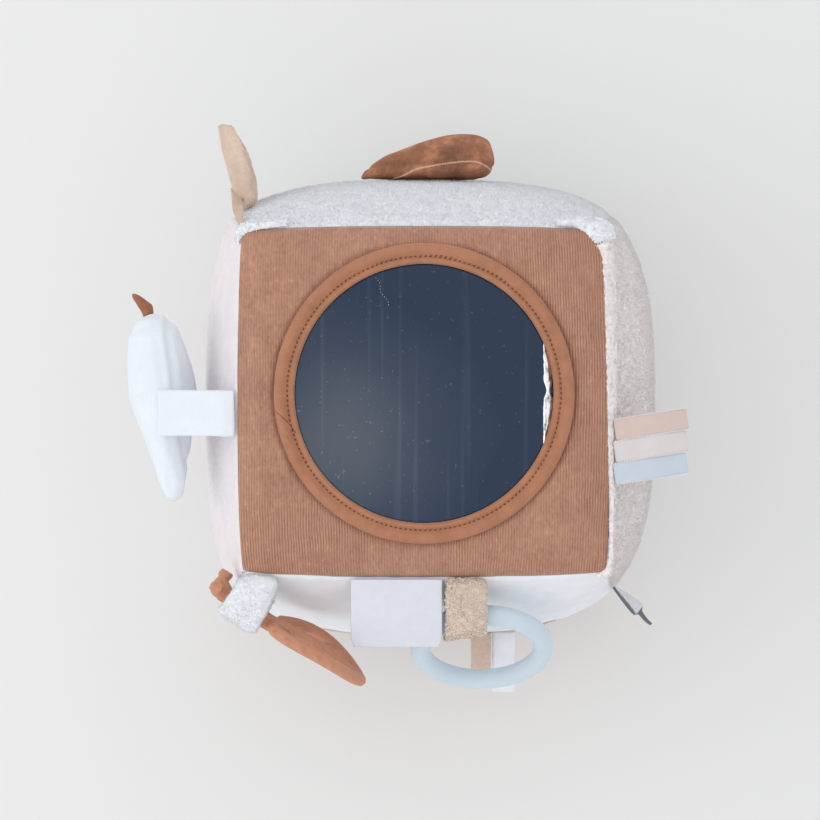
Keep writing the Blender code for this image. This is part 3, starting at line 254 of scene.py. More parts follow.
def smooth(part):
    """Share from 0 to 1, eased at both ends."""
    part = max(0.0, min(1.0, part))
    return part * part * (3 - 2 * part)


def even(count, low=0.0, high=1.0):
    """Even steps from low to high, both ends included."""
    return [blend(low, high, index / count) for index in range(count + 1)]


def turns(count):
    """Angles of even steps once round a circle."""
    return [2 * math.pi * index / count for index in range(count)]


def around(turn):
    """Level direction at an angle from +X."""
    return Vector((math.cos(turn), math.sin(turn), 0.0))


def curve_at(knots, part):
    """Place on a smooth curve through knots, for a share of its length from 0 to 1."""
    spans = len(knots) - 1
    index = min(int(part * spans), spans - 1)
    first, second, third, last = [Vector(knots[max(0, min(spans, index + step))])
                                  for step in (-1, 0, 1, 2)]
    part = part * spans - index
    bend = 2 * first - 5 * second + 4 * third - last
    twist = 3 * second - first - 3 * third + last
    return 0.5 * (2 * second + (third - first) * part + bend * part ** 2 + twist * part ** 3)


def show(name, data):
    """Object for a mesh, a curve, a light or a camera, at the origin."""
    piece = bpy.data.objects.new(name, data)
    bpy.context.scene.collection.objects.link(piece)
    return piece


def make_piece(name, points, faces, material):
    """Smooth object from points and faces."""
    mesh = bpy.data.meshes.new(name)
    mesh.from_pydata([tuple(point) for point in points], [], faces)
    mesh.update()
    mesh.shade_smooth()
    mesh.materials.append(material)
    return show(name, mesh)


def grid_faces(rows, columns, round_rows=False, round_columns=False):
    """Faces of a grid of points, closed on itself where asked."""
    faces = []
    for row in range(rows if round_rows else rows - 1):
        below = (row + 1) % rows
        for column in range(columns if round_columns else columns - 1):
            beside = (column + 1) % columns
            faces.append((row * columns + column, row * columns + beside,
                          below * columns + beside, below * columns + column))
    return faces


def turn_out(piece):
    """Make the faces of a closed piece point outwards."""
    shape = bmesh.new()
    shape.from_mesh(piece.data)
    bmesh.ops.remove_doubles(shape, verts=shape.verts, dist=1e-7)
    bmesh.ops.recalc_face_normals(shape, faces=shape.faces)
    shape.to_mesh(piece.data)
    shape.free()
    piece.data.shade_smooth()


def face_up(piece, face=0):
    """Turn a level sheet over if this face of it points down."""
    if piece.data.polygons[face].normal.z < 0:
        piece.data.flip_normals()


def keep_evaluated(piece):
    """Make a piece's modifiers part of its mesh."""
    graph = bpy.context.evaluated_depsgraph_get()
    mesh = bpy.data.meshes.new_from_object(piece.evaluated_get(graph))
    piece.modifiers.clear()
    piece.data = mesh


def thicken(piece, thick, offset=-1.0):
    """Give a sheet its thickness, inwards unless told otherwise."""
    modifier = piece.modifiers.new("cloth", "SOLIDIFY")
    modifier.thickness = thick
    modifier.offset = offset
    modifier.use_even_offset = False
    keep_evaluated(piece)


def subdivide(piece, levels=1):
    """Round a piece off."""
    modifier = piece.modifiers.new("round", "SUBSURF")
    modifier.levels = modifier.render_levels = levels
    keep_evaluated(piece)


def coordinates(piece, kind="co"):
    """Points of a piece, as rows of x, y, z."""
    values = np.zeros(len(piece.data.vertices) * 3, np.float32)
    piece.data.vertices.foreach_get(kind, values)
    return values.reshape(-1, 3).astype(float)


def normals(piece):
    """Normals of a piece's points, as rows of x, y, z."""
    return coordinates(piece, "normal")


def store_values(piece, name, values):
    """Keep a value for each point of a piece, for its finish to read."""
    store = piece.data.attributes.new(name, "FLOAT", "POINT")
    store.data.foreach_set("value", np.array(values, np.float32))


def put(piece, points):
    """Move a piece's points to these places."""
    piece.data.vertices.foreach_set("co", points.astype(np.float32).ravel())
    piece.data.update()


def push(piece, depth):
    """Move each point along its normal by depth(point)."""
    points = coordinates(piece)
    moves = np.array([depth(Vector(point)) for point in points])
    put(piece, points + normals(piece) * moves[:, None])


def surface_of(piece):
    """Surface of a piece, to look up levels on it."""
    return BVHTree.FromPolygons([tuple(vert.co) for vert in piece.data.vertices],
                                [tuple(face.vertices) for face in piece.data.polygons])


def level_at(skin, spot, default):
    """Height of a surface under a spot seen from above, or the default where it is missed."""
    hit = skin.ray_cast(Vector((spot.x, spot.y, 1.0)), -UP)[0]
    return hit.z if hit else default


def rough(point, scale, seed, stretch=(1.0, 1.0, 1.0)):
    """Smooth unevenness from -1 to 1 about a place, of the given size."""
    return noise.noise(Vector(value / scale * pull for value, pull in zip(point, stretch)) + UP * seed)


def ripple(depth, scale, seed, stretch=(1.0, 1.0, 1.0)):
    """Depth of plain unevenness of the given size, for push()."""
    return lambda point: depth * rough(point, scale, seed, stretch)


def solid_copy(name, node, material):
    """Closed copy of a frame solid."""
    piece = show(name, NODES[node].data.copy())
    piece.data.materials.clear()
    piece.data.materials.append(material)
    turn_out(piece)
    return piece


def body_copy(name, node, voxel, material, ease):
    """Closed copy of a frame solid in even facets, with its hard edges eased."""
    return even_out(solid_copy(name, node, material), voxel, ease)


def even_out(piece, voxel, ease):
    """Give a closed piece even facets and ease its hard edges."""
    modifier = piece.modifiers.new("even", "REMESH")
    modifier.mode = "VOXEL"
    modifier.voxel_size = voxel
    modifier.use_smooth_shade = True
    relax = piece.modifiers.new("ease", "SMOOTH")
    relax.factor = 0.5
    relax.iterations = ease
    keep_evaluated(piece)
    piece.data.shade_smooth()
    return piece


def inflate(piece, pressure, cap, held=None):
    """Fill a piece with air as cloth and keep the result. No point moves past the cap."""
    before = coordinates(piece)
    cloth = piece.modifiers.new("stuffed", "CLOTH")
    settings = cloth.settings
    settings.quality = 6
    settings.mass = 0.2
    settings.tension_stiffness = 12.0
    settings.compression_stiffness = 12.0
    settings.bending_stiffness = 0.4
    settings.effector_weights.gravity = 0.0
    settings.use_pressure = True
    settings.uniform_pressure_force = pressure
    cloth.collision_settings.use_collision = False
    cloth.collision_settings.use_self_collision = False
    cloth.point_cache.frame_start = 1
    cloth.point_cache.frame_end = CLOTH_FRAMES
    if held is not None:
        group = piece.vertex_groups.new(name="seam")
        group.add([index for index, weight in enumerate(held) if weight > 0], 1.0, "REPLACE")
        settings.vertex_group_mass = group.name
    for number in range(1, CLOTH_FRAMES + 1):
        bpy.context.scene.frame_set(number)
    keep_evaluated(piece)
    piece.vertex_groups.clear()
    bpy.context.scene.frame_set(1)
    moves = coordinates(piece) - before
    reach = np.linalg.norm(moves, axis=1, keepdims=True)
    put(piece, before + moves * np.minimum(1.0, cap / np.maximum(reach, 1e-9)))


# Node trees


def add_node(tree, kind, inputs=None, **settings):
    """Node with its settings, and its inputs set or linked."""
    node = tree.nodes.new(kind)
    for key, value in settings.items():
        setattr(node, key, value)
    for key, value in (inputs or {}).items():
        if isinstance(value, bpy.types.NodeSocket):
            tree.links.new(value, node.inputs[key])
        else:
            node.inputs[key].default_value = value
    return node


def new_finish(name, colour, roughness, **sockets):
    """Principled material: the material, its tree and its shader."""
    material = bpy.data.materials.new(name)
    material.use_nodes = True
    tree = material.node_tree
    shader = tree.nodes["Principled BSDF"]
    shader.inputs["Base Color"].default_value = (*colour, 1.0)
    shader.inputs["Roughness"].default_value = roughness
    for key, value in sockets.items():
        shader.inputs[key.replace("_", " ").title().replace("Ior", "IOR")].default_value = value
    return material, tree, shader


def object_place(tree):
    """Socket with the place in the object's own coordinates."""
    return add_node(tree, "ShaderNodeTexCoord").outputs["Object"]


def grain(tree, scale, detail=2.0, stretch=(1.0, 1.0, 1.0), uneven=0.5):
    """Noise on the object's own coordinates, with so many grains to the metre."""
    place = add_node(tree, "ShaderNodeMapping", {"Vector": object_place(tree), "Scale": stretch})
    return add_node(tree, "ShaderNodeTexNoise",
                    {"Vector": place.outputs["Vector"], "Scale": scale, "Detail": detail,
                     "Roughness": uneven}).outputs["Fac"]


def weave(tree, pitch, along):
    """Threads along one direction, one pitch apart."""
    return add_node(tree, "ShaderNodeTexWave",
                    {"Vector": object_place(tree), "Scale": math.pi / (10 * pitch), "Distortion": 0.6,
                     "Detail": 1.0, "Detail Scale": 2.0}, bands_direction=along).outputs["Fac"]


def between(tree, factor, *stops):
    """Colour that follows a factor, through stops of (place, colour)."""
    ramp = add_node(tree, "ShaderNodeValToRGB", {"Fac": factor})
    marks = ramp.color_ramp.elements
    while len(marks) < len(stops):
        marks.new(0.5)
    for mark, (place, colour) in zip(marks, stops):
        mark.position = place
        mark.color = (*colour, 1.0)
    return ramp.outputs["Color"]


def shade(colour, lightness):
    """The colour made darker or lighter."""
    return tuple(min(1.0, value * lightness) for value in colour)


def dyed(tree, shader, colour):
    """Give a shader its colour from a socket."""
    tree.links.new(colour, shader.inputs["Base Color"])


def times(tree, first, second):
    """Product of two colours."""
    mix = add_node(tree, "ShaderNodeMix", data_type="RGBA", blend_type="MULTIPLY")
    mix.inputs["Factor"].default_value = 1.0
    tree.links.new(first, mix.inputs[6])
    tree.links.new(second, mix.inputs[7])
    return mix.outputs[2]


def emboss(tree, shader, *layers):
    """Bump of several layers of (height, strength, distance)."""
    normal = None
    for height, strength, distance in layers:
        inputs = {"Height": height, "Strength": strength, "Distance": distance}
        if normal:
            inputs["Normal"] = normal
        normal = add_node(tree, "ShaderNodeBump", inputs).outputs["Normal"]
    tree.links.new(normal, shader.inputs["Normal"])


def attribute(tree, name):
    """Value stored on the points of a piece."""
    return add_node(tree, "ShaderNodeAttribute", attribute_name=name).outputs["Fac"]


def new_tree(name, *inputs):
    """Geometry tree with a mesh in and out and named inputs: the tree, its inputs and its output."""
    tree = bpy.data.node_groups.new(name, "GeometryNodeTree")
    tree.interface.new_socket("Geometry", in_out="INPUT", socket_type="NodeSocketGeometry")
    for label, kind in inputs:
        tree.interface.new_socket(label, in_out="INPUT", socket_type=f"NodeSocket{kind}")
    tree.interface.new_socket("Geometry", in_out="OUTPUT", socket_type="NodeSocketGeometry")
    return tree, tree.nodes.new("NodeGroupInput").outputs, tree.nodes.new("NodeGroupOutput")


def end_tree(tree, output, instances, finish):
    """Realize what the tree has placed, and give it its finish."""
    real = add_node(tree, "GeometryNodeRealizeInstances", {"Geometry": instances})
    even_shade = add_node(tree, "GeometryNodeSetShadeSmooth", {"Geometry": real.outputs["Geometry"]})
    done = add_node(tree, "GeometryNodeSetMaterial",
                    {"Geometry": even_shade.outputs["Geometry"], "Material": finish})
    tree.links.new(done.outputs["Geometry"], output.inputs["Geometry"])


def reckon(tree, operation, first, second):
    """Vector maths of two vectors, or of a vector and a scale."""
    key = "Scale" if operation == "SCALE" else 1
    return add_node(tree, "ShaderNodeVectorMath", {0: first, key: second},
                    operation=operation).outputs[0]


def drawn(tree, low, high):
    """Random number between two, or a random vector between two vectors."""
    if isinstance(low, tuple):
        return add_node(tree, "FunctionNodeRandomValue", {0: low, 1: high},
                        data_type="FLOAT_VECTOR").outputs[0]
    return add_node(tree, "FunctionNodeRandomValue", {2: low, 3: high}, data_type="FLOAT").outputs[1]


def turned(tree, rotation, angles):
    """A rotation turned further about its own axes."""
    return add_node(tree, "FunctionNodeRotateRotation", {"Rotation": rotation, "Rotate By": angles},
                    rotation_space="LOCAL").outputs["Rotation"]


def strewn(tree, given):
    """Node that strews points over the surface, so many to the square metre."""
    return add_node(tree, "GeometryNodeDistributePointsOnFaces",
                    {"Mesh": given["Geometry"], "Density": given["Strands"], "Seed": given["Seed"]},
                    distribute_method="RANDOM")


def scatter(tree, spots, strand, rotation, sizes, output, finish):
    """Set a turned strand on every spot, each with its own size and lightness, and end the tree."""
    placed = add_node(tree, "GeometryNodeInstanceOnPoints",
                      {"Points": spots.outputs["Points"], "Instance": strand.outputs["Mesh"],
                       "Rotation": rotation, "Scale": drawn(tree, *sizes)})
    named = add_node(tree, "GeometryNodeStoreNamedAttribute",
                     {"Geometry": placed.outputs["Instances"], "Name": "strand",
                      "Value": drawn(tree, 0.0, 1.0)}, data_type="FLOAT", domain="INSTANCE")
    end_tree(tree, output, named.outputs["Geometry"], finish)


def pile_tree(name):
    """Tree that covers a surface with tapered strands, leaning in tufts."""
    tree, given, output = new_tree(
        name, ("Strands", "Float"), ("Length", "Float"), ("Thickness", "Float"), ("Spread", "Float"),
        ("Nap", "Vector"), ("Tuft", "Float"), ("Seed", "Int"), ("Finish", "Material"))
    spots = strewn(tree, given)
    place = add_node(tree, "GeometryNodeInputPosition").outputs["Position"]
    tuft = add_node(tree, "ShaderNodeTexNoise",
                    {"Vector": place, "Scale": given["Tuft"], "Detail": 1.0}).outputs["Color"]
    tuft = reckon(tree, "SCALE", reckon(tree, "SUBTRACT", tuft, (0.5, 0.5, 0.5)), 3.2)
    lean = reckon(tree, "ADD", tuft, drawn(tree, (-1.0, -1.0, -1.0), (1.0, 1.0, 1.0)))
    lean = reckon(tree, "SCALE", lean, given["Spread"])
    lean = reckon(tree, "ADD", lean, given["Nap"])
    lean = reckon(tree, "ADD", lean, spots.outputs["Normal"])
    turn = add_node(tree, "FunctionNodeAlignRotationToVector", {"Vector": lean}, axis="Z")
    strand = add_node(tree, "GeometryNodeMeshCone",
                      {"Vertices": 3, "Radius Top": 0.0, "Radius Bottom": given["Thickness"],
                       "Depth": given["Length"]}, fill_type="NONE")
    scatter(tree, spots, strand, turn.outputs["Rotation"], (0.55, 1.1), output, given["Finish"])
    return tree


def curl_tree(name):
    """Tree that covers a surface with small open curls."""
    tree, given, output = new_tree(
        name, ("Strands", "Float"), ("Width", "Float"), ("Thickness", "Float"), ("Seed", "Int"),
        ("Finish", "Material"))
    spots = strewn(tree, given)
    curl = add_node(tree, "GeometryNodeCurveArc",
                    {"Resolution": 8, "Radius": given["Width"], "Sweep Angle": math.radians(285)})
    round_it = add_node(tree, "GeometryNodeCurvePrimitiveCircle", {"Resolution": 3}, mode="RADIUS")
    tree.links.new(given["Thickness"], round_it.inputs["Radius"])
    wool = add_node(tree, "GeometryNodeCurveToMesh",
                    {"Curve": curl.outputs["Curve"], "Profile Curve": round_it.outputs["Curve"]})
    turn = turned(tree, spots.outputs["Rotation"],
                  drawn(tree, (-1.0, -1.0, -math.pi), (1.0, 1.0, math.pi)))
    scatter(tree, spots, wool, turn, (0.6, 1.15), output, given["Finish"])
    return tree


def stitch_tree(name):
    """Tree that sets stitches along a line of edges, one pitch apart."""
    tree, given, output = new_tree(
        name, ("Pitch", "Float"), ("Size", "Vector"), ("Stray", "Float"), ("Slant", "Float"),
        ("Seed", "Int"), ("Finish", "Material"))
    line = add_node(tree, "GeometryNodeMeshToCurve", {"Mesh": given["Geometry"]})
    spots = add_node(tree, "GeometryNodeResampleCurve",
                     {"Curve": line.outputs["Curve"], "Length": given["Pitch"]}, mode="LENGTH")
    along = add_node(tree, "GeometryNodeInputTangent").outputs["Tangent"]
    turn = add_node(tree, "FunctionNodeAlignRotationToVector", {"Vector": along}, axis="X")
    low, high = [add_node(tree, "ShaderNodeMath", {0: given["Slant"], 1: given["Stray"]},
                          operation=operation).outputs[0] for operation in ("SUBTRACT", "ADD")]
    slant = add_node(tree, "FunctionNodeRandomValue", {2: low, 3: high, "Seed": given["Seed"]},
                     data_type="FLOAT")
    angles = add_node(tree, "ShaderNodeCombineXYZ", {"Z": slant.outputs[1]})
    stitch = add_node(tree, "GeometryNodeMeshUVSphere", {"Segments": 8, "Rings": 5, "Radius": 0.5})
    placed = add_node(tree, "GeometryNodeInstanceOnPoints",
                      {"Points": spots.outputs["Curve"], "Instance": stitch.outputs["Mesh"],
                       "Rotation": turned(tree, turn.outputs["Rotation"], angles.outputs[0]),
                       "Scale": given["Size"]})
    end_tree(tree, output, placed.outputs["Instances"], given["Finish"])
    return tree


def grow(name, base, tree, **values):
    """New plain piece: what a tree makes on a base piece, which stays as it is."""
    modifier = base.modifiers.new("grow", "NODES")
    modifier.node_group = tree
    for item in tree.interface.items_tree:
        if item.in_out == "INPUT" and item.name.lower() in values:
            modifier[item.identifier] = values[item.name.lower()]
    graph = bpy.context.evaluated_depsgraph_get()
    mesh = bpy.data.meshes.new_from_object(base.evaluated_get(graph))
    base.modifiers.remove(modifier)
    return show(name, mesh)


def shared_tree(maker):
    """The tree that a function makes, made once and named after it."""
    return bpy.data.node_groups.get(maker.__name__) or maker(maker.__name__)


def area_of(piece):
    """Area of a piece's faces."""
    return sum(face.area for face in piece.data.polygons)


def add_pile(name, base, finish, long, count, pile, seed, nap=(0.0, 0.0, 0.0), tuft=300.0):
    """Strands over a base piece."""
    return grow(name, base, shared_tree(pile_tree), strands=count / area_of(base), length=long,
                thickness=pile.strand, spread=pile.spread, nap=nap, tuft=tuft, seed=seed, finish=finish)


def add_stitches(name, line, finish, pitch, size, stray, seed, slant=0.0):
    """Stitches along a line of points."""
    mesh = bpy.data.meshes.new(name + "_line")
    edges = [(index, index + 1) for index in range(len(line) - 1)]
    mesh.from_pydata([tuple(point) for point in line], edges, [])
    guide = show(name + "_line", mesh)
    piece = grow(name, guide, shared_tree(stitch_tree), pitch=pitch, size=size, stray=stray,
                 slant=slant, seed=seed, finish=finish)
    bpy.data.objects.remove(guide)
    return piece


# Finishes


def wear_out(tree, shader, patches, low, high):
    """Roughness that varies in patches."""
    wear = add_node(tree, "ShaderNodeMapRange", {"Value": patches, "To Min": low, "To Max": high})
    tree.links.new(wear.outputs["Result"], shader.inputs["Roughness"])


def plush_finish(name, colour, dark=0.98):
    """Soft pile: each strand has its own lightness, over slow patches of shade."""
    material, tree, shader = new_finish(name, colour, 1.0, sheen_weight=0.60, sheen_roughness=0.5)
    strands = between(tree, attribute(tree, "strand"), (0.0, shade(colour, dark)), (1.0, colour))
    patches = between(tree, grain(tree, 130.0, 4.0), (0.3, (0.96, 0.96, 0.975)), (0.65, WHITE))
    dyed(tree, shader, times(tree, strands, patches))
    return material


def cloth_finish(name, colour, pitch, crinkle=0.0, mottle=0.05):
    """Woven cloth with its two directions of thread, and crinkles where asked."""
    material, tree, shader = new_finish(name, colour, 0.92, sheen_weight=0.12, sheen_roughness=0.5)
    patches = between(tree, grain(tree, 120.0, 4.0), (0.25, shade(colour, 1.0 - 1.6 * mottle)),
                      (0.7, colour))
    dyed(tree, shader, patches)
    layers = [(weave(tree, pitch, along), 0.25, pitch / 3) for along in "XYZ"]
    if crinkle:
        layers.append((grain(tree, 380.0, 3.0, (1.0, 1.0, 0.35)), 0.6, crinkle))
    emboss(tree, shader, *layers)
    return material


def knit_finish(name, colour, sizes):
    """Rib knit: painted shade in the valleys, light flecks along the ribs and small knitted stitches."""
    material, tree, shader = new_finish(name, colour, 0.95, sheen_weight=0.2, sheen_roughness=0.5)
    # Painted shade: the valleys between the ribs are darkened to about half, where shade falls between them
    ribs = between(tree, attribute(tree, "rib"), (0.0, (0.50, 0.43, 0.40)), (0.60, WHITE))
    flecks = grain(tree, 620.0, 2.0, (1.0, 0.45, 1.0), uneven=0.7)
    flecks = between(tree, flecks, (0.28, shade(colour, 0.84)), (0.44, colour), (0.62, shade(colour, 1.08)),
                     (0.74, shade(colour, 1.34)))
    patches = between(tree, grain(tree, 38.0, 3.0), (0.25, (0.93, 0.91, 0.90)), (0.75, (1.04, 1.03, 1.02)))
    dyed(tree, shader, times(tree, times(tree, ribs, flecks), patches))
    emboss(tree, shader, (weave(tree, sizes.stitch_pitch, "Y"), 0.35, 0.00012),
           (grain(tree, 2200.0, 2.0), 0.5, 0.00010))
    return material


def jersey_finish(name, colour):
    """Fine jersey with a slight nap and soft wear."""
    material, tree, shader = new_finish(name, colour, 0.88, sheen_weight=0.25, sheen_roughness=0.45)
    patches = between(tree, grain(tree, 160.0, 4.0), (0.28, shade(colour, 0.86)), (0.55, colour),
                      (0.8, shade(colour, 1.10)))
    dyed(tree, shader, patches)
    emboss(tree, shader, (grain(tree, 1500.0, 2.0), 0.35, 0.00012), (grain(tree, 300.0, 2.0), 0.25, 0.0003))
    return material


def velour_finish(name, colour, light=1.16, dark=0.86):
    """Velour: painted sheen and shade in lighter and darker patches, as its nap lies two ways and catches
    the light differently.
    """
    material, tree, shader = new_finish(name, colour, 0.95, sheen_weight=0.55, sheen_roughness=0.35)
    shader.inputs["Sheen Tint"].default_value = (*shade(colour, 1.5), 1.0)
    # Painted sheen and shade: the nap's highlights and darker patches are put into the colour
    patches = between(tree, grain(tree, 120.0, 6.0, (1.0, 1.0, 0.6), uneven=0.68),
                      (0.32, shade(colour, dark)), (0.50, colour), (0.68, shade(colour, light)))
    strands = between(tree, grain(tree, 2400.0, 1.0), (0.3, (0.86, 0.85, 0.84)), (0.7, WHITE))
    dyed(tree, shader, times(tree, patches, strands))
    emboss(tree, shader, (grain(tree, 1700.0, 2.0), 0.6, 0.00022), (grain(tree, 420.0, 3.0), 0.35, 0.0004))
    return material


def satin_finish(name, colour):
    """Satin: smooth floats along the strip, with a fine cross thread."""
    pitch = 0.00035
    material, tree, shader = new_finish(name, colour, 0.42, sheen_weight=0.2, anisotropic=0.4)
    dyed(tree, shader, between(tree, grain(tree, 200.0, 3.0), (0.3, shade(colour, 0.955)), (0.7, colour)))
    emboss(tree, shader, *((weave(tree, pitch, along), 0.18, pitch / 4) for along in "XY"))
    return material


def silicone_finish(name, colour, dust):
    """Silicone: satin, slightly translucent, with a little dust."""
    material, tree, shader = new_finish(name, colour, 0.42, subsurface_weight=0.18, subsurface_scale=0.003)
    shader.inputs["Subsurface Radius"].default_value = (1.0, 0.6, 0.5)
    specks = between(tree, grain(tree, 900.0, 3.0), (0.62, colour), (0.74, shade(colour, 1.0 + 4 * dust)))
    patches = between(tree, grain(tree, 60.0, 2.0), (0.3, (0.95, 0.95, 0.95)), (0.7, WHITE))
    dyed(tree, shader, times(tree, specks, patches))
    wear_out(tree, shader, grain(tree, 240.0, 3.0), 0.36, 0.52)
    emboss(tree, shader, (grain(tree, 700.0, 2.0), 0.08, 0.0001))
    return material


def plastic_finish(name, colour):
    """Moulded plastic with a fine grain."""
    material, tree, shader = new_finish(name, colour, 0.38)
    dyed(tree, shader, between(tree, grain(tree, 250.0, 3.0), (0.3, shade(colour, 0.93)), (0.7, colour)))
    emboss(tree, shader, (grain(tree, 1400.0, 2.0), 0.06, 0.0001))
    return material


def fibre_finish(name, colour):
    """Loose fibre."""
    material, tree, shader = new_finish(name, colour, 1.0, sheen_weight=0.3)
    patches = grain(tree, 300.0, 5.0, uneven=0.7)
    dyed(tree, shader, between(tree, patches, (0.3, shade(colour, 0.85)), (0.65, colour)))
    emboss(tree, shader, (grain(tree, 400.0, 5.0, uneven=0.7), 0.8, 0.001))
    return material


def mirror_finish(name, centre):
    """Flexible mirror film with its reflection painted into the colour: dark blue-grey, greyer towards the
    front left, with faint streaks and specks.
    """
    material, tree, shader = new_finish(name, (0.06, 0.08, 0.12), 0.14, metallic=1.0)
    reach, stray, brightest_reflection = 0.062, 0.022, centre + Vector((-0.031, -0.018, 0.0))
    wander = add_node(tree, "ShaderNodeTexNoise",
                      {"Vector": object_place(tree), "Scale": 22.0, "Detail": 2.0}).outputs["Color"]
    place = reckon(tree, "ADD", object_place(tree), reckon(tree, "SCALE", wander, stray))
    place = add_node(tree, "ShaderNodeMapping",
                     {"Vector": place, "Scale": (1 / reach, 1 / reach, 0.0),
                      "Location": (-(brightest_reflection.x + stray / 2) / reach, -(brightest_reflection.y + stray / 2) / reach, 0.0)})
    near = add_node(tree, "ShaderNodeTexGradient", {"Vector": place.outputs["Vector"]},
                    gradient_type="SPHERICAL").outputs["Fac"]
    # Painted reflection: the dark colour, greyer round the front left, stands in for what the mirror
    # reflects
    painted_reflection = between(tree, near, (0.0, (0.040, 0.057, 0.092)), (0.45, (0.062, 0.081, 0.120)),
                    (0.80, (0.104, 0.123, 0.156)), (1.0, (0.114, 0.133, 0.166)))
    streaks = between(tree, grain(tree, 260.0, 1.0, (1.0, 0.02, 1.0), uneven=0.6), (0.62, WHITE),
                      (0.72, (1.22, 1.20, 1.16)))
    specks = between(tree, grain(tree, 650.0, 1.0), (0.71, WHITE), (0.77, (1.8, 1.7, 1.6)))
    dyed(tree, shader, times(tree, times(tree, painted_reflection, streaks), specks))
    wear_out(tree, shader, grain(tree, 90.0, 4.0), 0.08, 0.24)
    emboss(tree, shader, (grain(tree, 45.0, 1.0, (1.0, 0.12, 1.0)), 0.10, 0.0005))
    return material


def foil_finish(name):
    """Bare bright foil, with painted dark reflections along its folds."""
    bright = (0.93, 0.94, 0.96)
    material, tree, shader = new_finish(name, bright, 0.14, metallic=1.0)
    crease_reflections = grain(tree, 330.0, 3.0, (1.0, 0.45, 1.0), uneven=0.7)
    # Painted reflection: dark lines where the foil's folds would reflect something dark
    dyed(tree, shader, between(tree, crease_reflections, (0.34, (0.10, 0.11, 0.13)), (0.44, (0.55, 0.57, 0.60)),
                               (0.52, bright)))
    return material


# Cover


def crown_share(along, across, power):
    """Share of a panel's crown at a place on it, none at its seams."""
    return (1 - abs(along) ** 3) * (1 - abs(across) ** power)


def cover_point(sizes, a, b, c, inset=0.0):
    """Point of the sewn cover for shares a, b, c of the cube that the seams outline, one of them -1 or 1."""
    middle = sizes.base_drop + sizes.seam_edge / 2
    half = sizes.seam_edge / 2 - inset
    bow = sizes.corner_bow * math.cos(c * math.pi / 2)
    seam_bow = blend(sizes.base_bow, sizes.top_bow, (c + 1) / 2)
    pull = blend(sizes.corner_pull, sizes.end_pull, c * c) * (a * b) ** 4
    x = a * (half + bow + seam_bow * (1 - b * b) - pull)
    y = b * (half + bow + seam_bow * (1 - a * a) - pull - sizes.top_draw * max(0.0, c) ** 2)
    z = middle + c * half
    if abs(a) == 1:
        x += a * (sizes.crown_right if a > 0 else sizes.crown_left) * crown_share(b, c, 2)
    if abs(b) == 1:
        y += b * (sizes.crown_back if b > 0 else sizes.crown_front) * crown_share(a, c, 2)
    if c == 1:
        z += soft_least(sizes.top_rise, sizes.crown_top * crown_share(a, b, 3))
    if c == -1:
        z -= min(sizes.base_drop, (sizes.base_drop + 0.0005) * crown_share(a, b, 3))
    return Vector((x, y, z))


def soft_least(flat, crown):
    """The lesser of two heights, with the edge between them rounded."""
    ease = 0.0007
    gap = max(ease - abs(flat - crown), 0.0) / ease
    return min(flat, crown) - gap * gap * ease / 4


def side_point(sizes, side, u, v, inset=0.0):
    """Point of one side of the cover."""
    axis, sign = SIDES[side]
    shares = [u, v]
    shares.insert(axis, sign)
    return cover_point(sizes, *shares, inset)


def rolled(sizes, u, v, low=-1.0, high=1.0):
    """How far the cloth sinks into the seams beside it."""
    half = sizes.seam_edge / 2
    near = min(1 - abs(u), v - low, high - v) * half
    part = max(0.0, 1 - near / sizes.seam_roll)
    return sizes.seam_sink * (1 - math.sqrt(max(0.0, 1 - part * part)))


def panel(name, sizes, side, cells, material, inset=0.0, low=-1.0, high=1.0, pressure=1.2):
    """One crowned panel of the cover: stuffed as cloth held at its seams, then rolled into them."""
    us, vs = even(cells, -1.0, 1.0), even(max(8, round(cells * (high - low) / 2)), low, high)
    spots = [(u, v) for u in us for v in vs]
    points = [side_point(sizes, side, u, v, inset) for u, v in spots]
    piece = make_piece(name, points, grid_faces(len(us), len(vs)), material)
    axis, sign = SIDES[side]
    if piece.data.polygons[len(piece.data.polygons) // 2].normal[axis] * sign < 0:
        piece.data.flip_normals()
    edge = [u in (us[0], us[-1]) or v in (vs[0], vs[-1]) for u, v in spots]
    inflate(piece, pressure, PANEL_GIVE, edge)
    sinks = np.array([rolled(sizes, u, v, low, high) for u, v in spots])
    put(piece, coordinates(piece) - normals(piece) * sinks[:, None])
    return piece


def gathers(sizes, side, low, high, depth):
    """Depth of the small gathers that run in from a panel's seams, for push()."""
    axis = SIDES[side][0]
    flat = [index for index in range(3) if index != axis]
    half = sizes.seam_edge / 2 + sizes.corner_bow / 2
    middle = sizes.base_drop + sizes.seam_edge / 2

    def at(point):
        u = point[flat[0]] / half
        v = (point[flat[1]] - (middle if flat[1] == 2 else 0.0)) / half
        near = min(1 - abs(u), v - low, high - v) * half
        folds = rough(point, 0.009, 3.0) + 0.6 * rough(point, 0.021, 7.0)
        return depth * folds * (0.35 + 0.65 * math.exp(-(max(0.0, near) / 0.02) ** 2)) * smooth(near / 0.003)

    return at


def declare(nodes):
    """Hide the frame nodes that a piece stands for."""
    if nodes:
        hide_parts(*nodes)


def finish_piece(piece, body, slot, *nodes, fill=None):
    """Fix a piece to its body and hide the frame nodes that it stands for."""
    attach(piece, body)
    declare(nodes)


def fleece(size, depth, seed):
    """Depth of plush in soft tufts of the given size, deeper towards the top, for push()."""
    # noise_vector starts from the clock unless it is seeded
    noise.seed_set(TUFT_SEED)

    def at(point):
        place = point / size + UP * seed
        place += noise.noise_vector(place * 0.8) * 0.9
        tuft = 1.0 - min(1.0, noise.voronoi(place)[0][0]) + 0.35 * noise.noise(place * 2.7)
        return depth * (tuft - 0.5) * (0.5 + smooth((point.z - 0.13) / 0.02))

    return at


